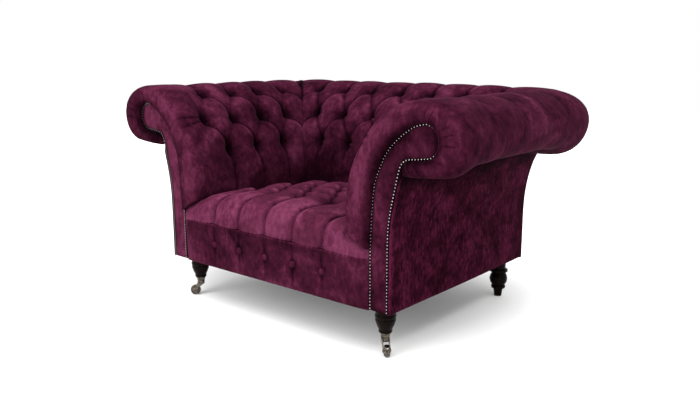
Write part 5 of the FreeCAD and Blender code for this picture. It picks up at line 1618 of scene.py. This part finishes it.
class ARMCHAIR_OT_studio(Operator):
    """Floor, soft lights, white surround and the camera"""
    bl_idname = "armchair.studio"
    bl_label = "Studio"

    def execute(self, context):
        look = context.scene.armchair_studio
        scene = context.scene
        scene.view_settings.view_transform = "Standard"
        corners = [(x * FLOOR_HALF, y * FLOOR_HALF, 0) for x, y in ((-1, -1), (1, -1), (1, 1), (-1, 1))]
        floor = new_piece("studio_floor", corners, [[0, 1, 2, 3]], self.floor_finish(look))
        self.surround(scene, look)
        self.key_light(look.key_power)
        self.ceiling_light(look.ceiling)
        camera = bpy.data.cameras.new("photo_camera")
        camera.lens = CAMERA_LENS
        camera.sensor_width = CAMERA_SENSOR
        camera.clip_start, camera.clip_end = CAMERA_CLIP
        scene.camera = new_object("photo_camera", camera)
        scene.camera.location = CAMERA_PLACE
        scene.camera.rotation_euler = (math.radians(CAMERA_TILT), 0.0, math.radians(CAMERA_TURN))
        return {"FINISHED"}

    def seen_directly(self, tree):
        """1 for camera, mirror and glass rays, 0 for the light on the chair."""
        path = tree.nodes.new("ShaderNodeLightPath")
        value = path.outputs["Is Camera Ray"]
        for label in ("Is Glossy Ray", "Is Transmission Ray"):
            total = tree.nodes.new("ShaderNodeMath")
            total.operation = "MAXIMUM"
            tree.links.new(value, total.inputs[0])
            tree.links.new(path.outputs[label], total.inputs[1])
            value = total.outputs[0]
        return value

    def floor_finish(self, look):
        material = bpy.data.materials.new("Pale floor")
        material.use_nodes = True
        tree = material.node_tree
        tree.nodes.clear()
        paint = tree.nodes.new("ShaderNodeBsdfDiffuse")
        paint.inputs["Color"].default_value = (*look.floor_colour, 1.0)
        lift = tree.nodes.new("ShaderNodeEmission")
        strength = tree.nodes.new("ShaderNodeMath")
        strength.operation = "MULTIPLY"
        strength.inputs[1].default_value = look.floor_lift
        tree.links.new(self.seen_directly(tree), strength.inputs[0])
        tree.links.new(strength.outputs[0], lift.inputs["Strength"])
        both = tree.nodes.new("ShaderNodeAddShader")
        tree.links.new(paint.outputs[0], both.inputs[0])
        tree.links.new(lift.outputs[0], both.inputs[1])
        leave = tree.nodes.new("ShaderNodeOutputMaterial")
        tree.links.new(both.outputs[0], leave.inputs["Surface"])
        return material

    def surround(self, scene, look):
        world = bpy.data.worlds.new("White studio")
        world.use_nodes = True
        tree = world.node_tree
        tree.nodes.clear()
        room = tree.nodes.new("ShaderNodeBackground")
        room.inputs["Color"].default_value = WHITE
        room.inputs["Strength"].default_value = look.ambient
        white = tree.nodes.new("ShaderNodeBackground")
        white.inputs["Color"].default_value = WHITE
        white.inputs["Strength"].default_value = 1.0
        choose = tree.nodes.new("ShaderNodeMixShader")
        tree.links.new(self.seen_directly(tree), choose.inputs["Fac"])
        tree.links.new(room.outputs[0], choose.inputs[1])
        tree.links.new(white.outputs[0], choose.inputs[2])
        leave = tree.nodes.new("ShaderNodeOutputWorld")
        tree.links.new(choose.outputs[0], leave.inputs["Surface"])
        scene.world = world

    def ceiling_light(self, strength):
        light = bpy.data.lights.new("ceiling_light", "SUN")
        light.energy = strength
        light.angle = math.radians(CEILING_SPREAD)
        stand = new_object("ceiling_light", light)
        stand.rotation_euler = [math.radians(lean) for lean in CEILING_LEAN]
        stand.location = (0.0, 0.0, CEILING_HEIGHT)

    def key_light(self, power):
        light = bpy.data.lights.new("key_light", "AREA")
        light.energy = power
        light.size = KEY_SIZE
        stand = new_object("key_light", light)
        stand.location = KEY_PLACE
        stand.rotation_euler = (Vector(KEY_TARGET) - Vector(KEY_PLACE)).to_track_quat("-Z", "Y").to_euler()


# Angles in degrees above which an edge is shaded sharp
PANEL_SHARP = 50
LEG_SHARP = 30
CASTOR_SHARP = 40

BUTTON_SPOTS = {}


class ARMCHAIR_OT_rolls(Operator):
    """Padded rolls of the two arms and the back, with their tufts and corner mitres"""
    bl_idname = "armchair.rolls"
    bl_label = "Padded rolls"

    def execute(self, context):
        cover = context.scene.armchair_cover
        points, faces, spots, painted_shading = arm_cover(cover)
        for side, sign in SIDES:
            sided = in_place(on_side(points, sign))
            piece = new_piece(f"{side}_arm_roll", sided, faces, finish("velvet"), painted_shading=painted_shading)
            hand_over(piece, BODY, "plum_velvet", f"{side}_arm_pad", f"{side}_corner_pad")
            sided = [(on_side(place, sign), on_side(way, sign)) for place, way in spots]
            BUTTON_SPOTS[f"{side}_arm_buttons"] = sided
        points, faces, spots, painted_shading = back_cover(cover)
        piece = new_piece("back_roll", in_place(points), faces, finish("velvet"), painted_shading=painted_shading)
        hand_over(piece, BODY, "plum_velvet", "back_pad")
        BUTTON_SPOTS["back_buttons"] = spots
        return {"FINISHED"}


class ARMCHAIR_OT_seat(Operator):
    """Tufted seat with its pleated nosing, and the border below it"""
    bl_idname = "armchair.seat"
    bl_label = "Seat and border"

    def execute(self, context):
        cover = context.scene.armchair_cover
        points, faces, spots, painted_shading = seat_cover(cover)
        piece = new_piece("seat_cushion", in_place(points), faces, finish("seat_velvet_painted_light"), painted_shading=painted_shading)
        hand_over(piece, BODY, "plum_velvet", "seat_pad")
        BUTTON_SPOTS["seat_buttons"] = spots
        points, faces, spots, painted_shading = border_cover(cover)
        piece = new_piece("front_border_cover", in_place(points), faces, finish("velvet"), painted_shading=painted_shading)
        hand_over(piece, BODY, "plum_velvet", "front_border")
        BUTTON_SPOTS["border_buttons"] = spots
        return {"FINISHED"}


class ARMCHAIR_OT_panels(Operator):
    """Stuffed scroll facings, flared outside panels and the outside back"""
    bl_idname = "armchair.panels"
    bl_label = "Facings and outside panels"

    def execute(self, context):
        cover = context.scene.armchair_cover
        facing, facing_faces, facing_painted_shading = facing_cover(cover)
        panel, panel_faces, panel_painted_shading = side_panel_cover(cover)
        for side, sign in SIDES:
            # The left facing gets extra painted light
            painted_layer = facing_painted_shading if sign > 0 else facing_painted_shading + LEFT_FACING_PAINTED_LIGHT
            points = in_place(on_side(facing, sign))
            piece = new_piece(f"{side}_facing", points, facing_faces, finish("velvet"), PANEL_SHARP, painted_layer)
            hand_over(piece, BODY, "plum_velvet", f"{side}_facing_panel")
            points = in_place(on_side(panel, sign))
            outside = finish("panel_velvet_painted_shade")
            piece = new_piece(f"{side}_outside", points, panel_faces, outside, PANEL_SHARP, panel_painted_shading)
            hand_over(piece, BODY, "plum_velvet", f"{side}_outside_panel")
        points, faces, painted_shading = back_panel_cover(cover)
        points = in_place(points)
        piece = new_piece("outside_back", points, faces, finish("panel_velvet_painted_shade"), PANEL_SHARP, painted_shading)
        hand_over(piece, BODY, "plum_velvet", "outside_back_panel")
        return {"FINISHED"}


class ARMCHAIR_OT_trim(Operator):
    """Covered buttons in the tufts and dome nails round the facings"""
    bl_idname = "armchair.trim"
    bl_label = "Buttons and nails"

    def execute(self, context):
        trim = context.scene.armchair_trim
        tree, sockets = button_tree()
        values = {
            "Button radius": trim.button_radius,
            "Button height": trim.button_height,
            "Material": finish("button_velvet"),
        }
        for name, spots in BUTTON_SPOTS.items():
            guide = button_guide(name, spots)
            piece = realised(f"{name}_covered", guide, tree, sockets, values)
            hand_over(piece, BODY, "plum_velvet", name)
        tree, sockets = nail_tree()
        values = {
            "Nail pitch": trim.nail_pitch,
            "Nail radius": trim.nail_radius,
            "Nail height": trim.nail_height,
            "Material": finish("nail"),
        }
        for side, sign in SIDES:
            guide = self.nail_line(side, sign)
            piece = realised(f"{side}_dome_nails", guide, tree, sockets, values)
            hand_over(piece, BODY, "nail_metal", f"{side}_facing_nails")
        return {"FINISHED"}

    def nail_line(self, side, sign):
        """Open line a nail's width inside the facing's edge, from foot to foot."""
        loop = facing_outline(FACING_STEP)
        inset = loop - left_of(loop) * NAIL_INSET
        line = inset[loop[:, 1] > BASE_Z + NAIL_FOOT]
        points = np.stack((line[:, 0] * sign, np.full(len(line), -NAIL_PROUD), line[:, 1]), axis=1)
        mesh = bpy.data.meshes.new(f"{side}_nail_line")
        edges = [(k, k + 1) for k in range(len(points) - 1)]
        mesh.from_pydata(in_place(points).tolist(), edges, [])
        return mesh


FRONT_LEG = ((0.0, 0.0680), (0.0162, 0.0680), (0.0184, 0.0690), (0.0200, 0.0710), (0.0208, 0.0738),
             (0.0206, 0.0766), (0.0199, 0.0786), (0.0208, 0.0810), (0.0238, 0.0870), (0.0271, 0.0948),
             (0.0298, 0.1025), (0.0310, 0.1085), (0.0308, 0.1125), (0.0296, 0.1148), (0.0304, 0.1160),
             (0.0318, 0.1180), (0.0323, 0.1215), (0.0318, 0.1250), (0.0304, 0.1270), (0.0300, 0.1300),
             (0.0300, 0.1520), (0.0, 0.1520))
REAR_LEG = ((0.0, 0.0), (0.0125, 0.0), (0.0135, 0.0012), (0.0140, 0.006), (0.0152, 0.016), (0.0170, 0.029),
            (0.0215, 0.0292), (0.0245, 0.031), (0.0260, 0.036), (0.0245, 0.041), (0.0215, 0.043),
            (0.0232, 0.0445), (0.0272, 0.049), (0.0303, 0.0555), (0.0320, 0.065), (0.0313, 0.0735),
            (0.0288, 0.081), (0.0262, 0.085), (0.0240, 0.087), (0.0240, 0.091), (0.0290, 0.0912),
            (0.0320, 0.0935), (0.0330, 0.0975), (0.0320, 0.1015), (0.0290, 0.104), (0.0240, 0.1045),
            (0.0238, 0.110), (0.0248, 0.120), (0.0276, 0.133), (0.0318, 0.145), (0.0350, 0.152), (0.0, 0.152))


class ARMCHAIR_OT_legs(Operator):
    """Turned front and rear legs"""
    bl_idname = "armchair.legs"
    bl_label = "Turned legs"

    def execute(self, context):
        for end, profile in (("front", FRONT_LEG), ("rear", REAR_LEG)):
            for side, _ in SIDES:
                node = f"{end}_{side}_leg"
                low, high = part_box(node)
                foot = ((low.x + high.x) / 2, (low.y + high.y) / 2, 0.0)
                piece = lathe(f"{node}_turned", profile, finish("wood"), foot, sharp=LEG_SHARP)
                hand_over(piece, BODY, "dark_wood", node)
        return {"FINISHED"}


CASTOR_CUP = ((0.0, 0.0572), (0.0128, 0.0572), (0.0138, 0.0578), (0.0142, 0.0590), (0.0140, 0.0602),
              (0.0147, 0.0625), (0.0156, 0.0650), (0.0162, 0.0664), (0.0170, 0.0668), (0.0174, 0.0676),
              (0.0172, 0.0686), (0.0, 0.0686))
CASTOR_HUB = ((0.0, 0.0405), (0.0088, 0.0405), (0.0114, 0.0420), (0.0126, 0.0450), (0.0131, 0.0510),
              (0.0127, 0.0542), (0.0112, 0.0552), (0.0112, 0.0566), (0.0, 0.0566))
CASTOR_CHEEK = ((-0.0095, 0.0530), (-0.0100, 0.0470), (-0.0065, 0.0405), (0.0010, 0.0345), (0.0085, 0.0280),
                (0.0130, 0.0210), (0.0150, 0.0140), (0.0210, 0.0112), (0.0270, 0.0140), (0.0284, 0.0195),
                (0.0268, 0.0265), (0.0215, 0.0335), (0.0155, 0.0405), (0.0120, 0.0470), (0.0098, 0.0530))
CASTOR_WHEEL = ((0.0, -0.0068), (0.0075, -0.0068), (0.0085, -0.0056), (0.0128, -0.0054), (0.0140, -0.0068),
                (0.0160, -0.0073), (0.0174, -0.0064), (0.0182, -0.0040), (0.0185, 0.0), (0.0182, 0.0040),
                (0.0174, 0.0064), (0.0160, 0.0073), (0.0140, 0.0068), (0.0128, 0.0054), (0.0085, 0.0056),
                (0.0075, 0.0068), (0.0, 0.0068))
CASTOR_CAP = ((0.0, 0.0), (0.0042, 0.0), (0.0040, 0.0008), (0.0030, 0.0016), (0.0016, 0.0020), (0.0, 0.0021))
CHEEK_INSIDE = 0.0088
CHEEK_THICK = 0.0028
CHEEK_EASE = 0.0008
CHEEK_LAYERS = ((CHEEK_EASE, 0.0), (0.0, CHEEK_EASE), (0.0, CHEEK_THICK - CHEEK_EASE),
                (CHEEK_EASE, CHEEK_THICK))
CHEEK_SPLINE_STEPS = 4
CASTOR_SEGMENTS = 56
CAP_SEGMENTS = 24


class ARMCHAIR_OT_castors(Operator):
    """Castor cups, curved horns and wheels under the front legs"""
    bl_idname = "armchair.castors"
    bl_label = "Castors"

    def execute(self, context):
        for side, _ in SIDES:
            low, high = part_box(f"{side}_castor_cup")
            swivel = Vector(((low.x + high.x) / 2, (low.y + high.y) / 2, 0.0))
            low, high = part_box(f"{side}_castor_axle")
            axle = (low + high) / 2
            trail = Vector((axle.x - swivel.x, axle.y - swivel.y, 0.0)).normalized()
            across = Vector((-trail.y, trail.x, 0.0))
            cup = self.turned(f"{side}_castor_cup_turned", CASTOR_CUP, swivel)
            hand_over(cup, BODY, "castor_metal", f"{side}_castor_cup")
            parts = [self.turned(f"{side}_hub", CASTOR_HUB, swivel)]
            for way in (-1, 1):
                parts.append(self.cheek(f"{side}_cheek", swivel, trail, across * way))
                foot = axle + across * way * (CHEEK_INSIDE + CHEEK_THICK)
                parts.append(self.turned(f"{side}_cap", CASTOR_CAP, foot, across * way, CAP_SEGMENTS))
            horn = joined(f"{side}_castor_horn_cast", parts)
            hand_over(horn, f"{side}_castor", "castor_metal", f"{side}_castor_horn")
            wheel = self.turned(f"{side}_castor_wheel_turned", CASTOR_WHEEL, axle, across)
            hand_over(wheel, f"{side}_wheel", "castor_metal", f"{side}_castor_wheel")
        return {"FINISHED"}

    def turned(self, name, profile, foot, axis=(0, 0, 1), segments=CASTOR_SEGMENTS):
        return lathe(name, profile, finish("castor"), foot, axis, segments, CASTOR_SHARP)

    def cheek(self, name, swivel, trail, across):
        """One side plate of a horn, with eased edges, from the hub down to the axle."""
        loop = spline(np.vstack((CASTOR_CHEEK, CASTOR_CHEEK[:1])), CHEEK_SPLINE_STEPS)[:-1]
        inward = left_of(loop)
        rings = []
        for ease, out in CHEEK_LAYERS:
            flat = loop + inward * ease
            place = [swivel + trail * a + across * (CHEEK_INSIDE + out) + Vector((0, 0, z)) for a, z in flat]
            rings.append([tuple(p) for p in place])
        faces = ring_faces(numbered(len(rings), len(loop)))
        return new_piece(name, np.array(rings).reshape(-1, 3), faces, finish("castor"), CASTOR_SHARP)


# Dust cover: corner notches for the legs, grid, sag in the middle and thickness
DUST_NOTCH = 0.100
DUST_STEP = 0.0127
DUST_SAG = 0.004
DUST_THICK = 0.0008


class ARMCHAIR_OT_dust_cover(Operator):
    """Black cambric stretched under the seat frame, cut out round the legs"""
    bl_idname = "armchair.dust_cover"
    bl_label = "Dust cover"

    def execute(self, context):
        low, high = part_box("dust_cover")
        width, length = high.x - low.x, high.y - low.y
        across = self.stations(low.x, high.x)
        deep = self.stations(low.y, high.y)
        x, y = np.meshgrid(across, deep, indexing="ij")
        hang = np.cos(np.pi * x / width) * np.sin(np.pi * (y - low.y) / length)
        z = (low.z + high.z) / 2 - DUST_SAG * hang
        index = numbered(*x.shape)
        faces = []
        for face in grid_faces(index):
            middle_x = x.ravel()[face].mean()
            middle_y = y.ravel()[face].mean()
            at_side = abs(middle_x) > high.x - DUST_NOTCH
            at_end = middle_y < low.y + DUST_NOTCH or middle_y > high.y - DUST_NOTCH
            if not (at_side and at_end):
                faces.append(face)
        used = sorted({number for face in faces for number in face})
        place = {number: k for k, number in enumerate(used)}
        points = np.stack((x.ravel(), y.ravel(), z.ravel()), axis=1)[used]
        faces = [[place[number] for number in face] for face in faces]
        piece = new_piece("dust_cover_cloth", points, faces, finish("cambric"))
        thick = piece.modifiers.new("Cloth thickness", "SOLIDIFY")
        thick.thickness = DUST_THICK
        thick.offset = 0.0
        hand_over(piece, BODY, "dust_cloth", "dust_cover")
        return {"FINISHED"}

    def stations(self, start, end):
        """Grid lines from start to end that also run along both edges of the notches."""
        inside, outside = start + DUST_NOTCH, end - DUST_NOTCH
        middle = np.linspace(inside, outside, int((end - start - 2 * DUST_NOTCH) / DUST_STEP) + 1)
        return np.concatenate((np.linspace(start, inside, 9)[:-1], middle, np.linspace(outside, end, 9)[1:]))


class ARMCHAIR_OT_hidden(Operator):
    """Finishes on the frame, springs, castors and cloths that keep their own shape"""
    bl_idname = "armchair.hidden"
    bl_label = "Frame finishes"

    def execute(self, context):
        groups = {
            "timber": ("rail", "block", "post", "board"),
            "steel": ("screws", "springs", "clips", "bolts"),
            "jute": ("hessian",),
            "castor": ("castor",),
            "cambric": ("dust_cover",),
        }
        for name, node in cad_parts.items():
            for style, words in groups.items():
                if any(word in name for word in words):
                    for slot in node.material_slots:
                        slot.material = finish(style)
        return {"FINISHED"}


class ARMCHAIR_PT_sidebar(Panel):
    """Sizes, looks and the steps that build the armchair"""
    bl_idname = "ARMCHAIR_PT_sidebar"
    bl_label = "Buttoned armchair"
    bl_space_type = "VIEW_3D"
    bl_region_type = "UI"
    bl_category = "Armchair"

    def draw(self, context):
        layout = self.layout
        for step in STEPS:
            layout.operator(step.bl_idname)
        for owner in (context.scene.armchair_cover, context.scene.armchair_trim,
                      context.scene.armchair_velvet, context.scene.armchair_studio):
            box = layout.box()
            for key in owner.__annotations__:
                box.prop(owner, key)


STEPS = (ARMCHAIR_OT_studio, ARMCHAIR_OT_rolls, ARMCHAIR_OT_seat, ARMCHAIR_OT_panels, ARMCHAIR_OT_trim,
         ARMCHAIR_OT_legs, ARMCHAIR_OT_castors, ARMCHAIR_OT_dust_cover, ARMCHAIR_OT_hidden)
GROUPS = {
    "armchair_cover": CoverSizes,
    "armchair_trim": TrimSizes,
    "armchair_velvet": VelvetLook,
    "armchair_studio": StudioLook,
}


def register():
    for group in GROUPS.values():
        bpy.utils.register_class(group)
    for step in STEPS + (ARMCHAIR_PT_sidebar,):
        bpy.utils.register_class(step)
    for key, group in GROUPS.items():
        setattr(bpy.types.Scene, key, PointerProperty(type=group))


def unregister():
    for key in GROUPS:
        delattr(bpy.types.Scene, key)
    for step in (ARMCHAIR_PT_sidebar,) + STEPS[::-1]:
        bpy.utils.unregister_class(step)
    for group in GROUPS.values():
        bpy.utils.unregister_class(group)


def main():
    register()
    bpy.ops.armchair.studio()
    bpy.ops.armchair.rolls()
    bpy.ops.armchair.seat()
    bpy.ops.armchair.panels()
    bpy.ops.armchair.trim()
    bpy.ops.armchair.legs()
    bpy.ops.armchair.castors()
    bpy.ops.armchair.dust_cover()
    bpy.ops.armchair.hidden()


if __name__ == "__main__":
    main()
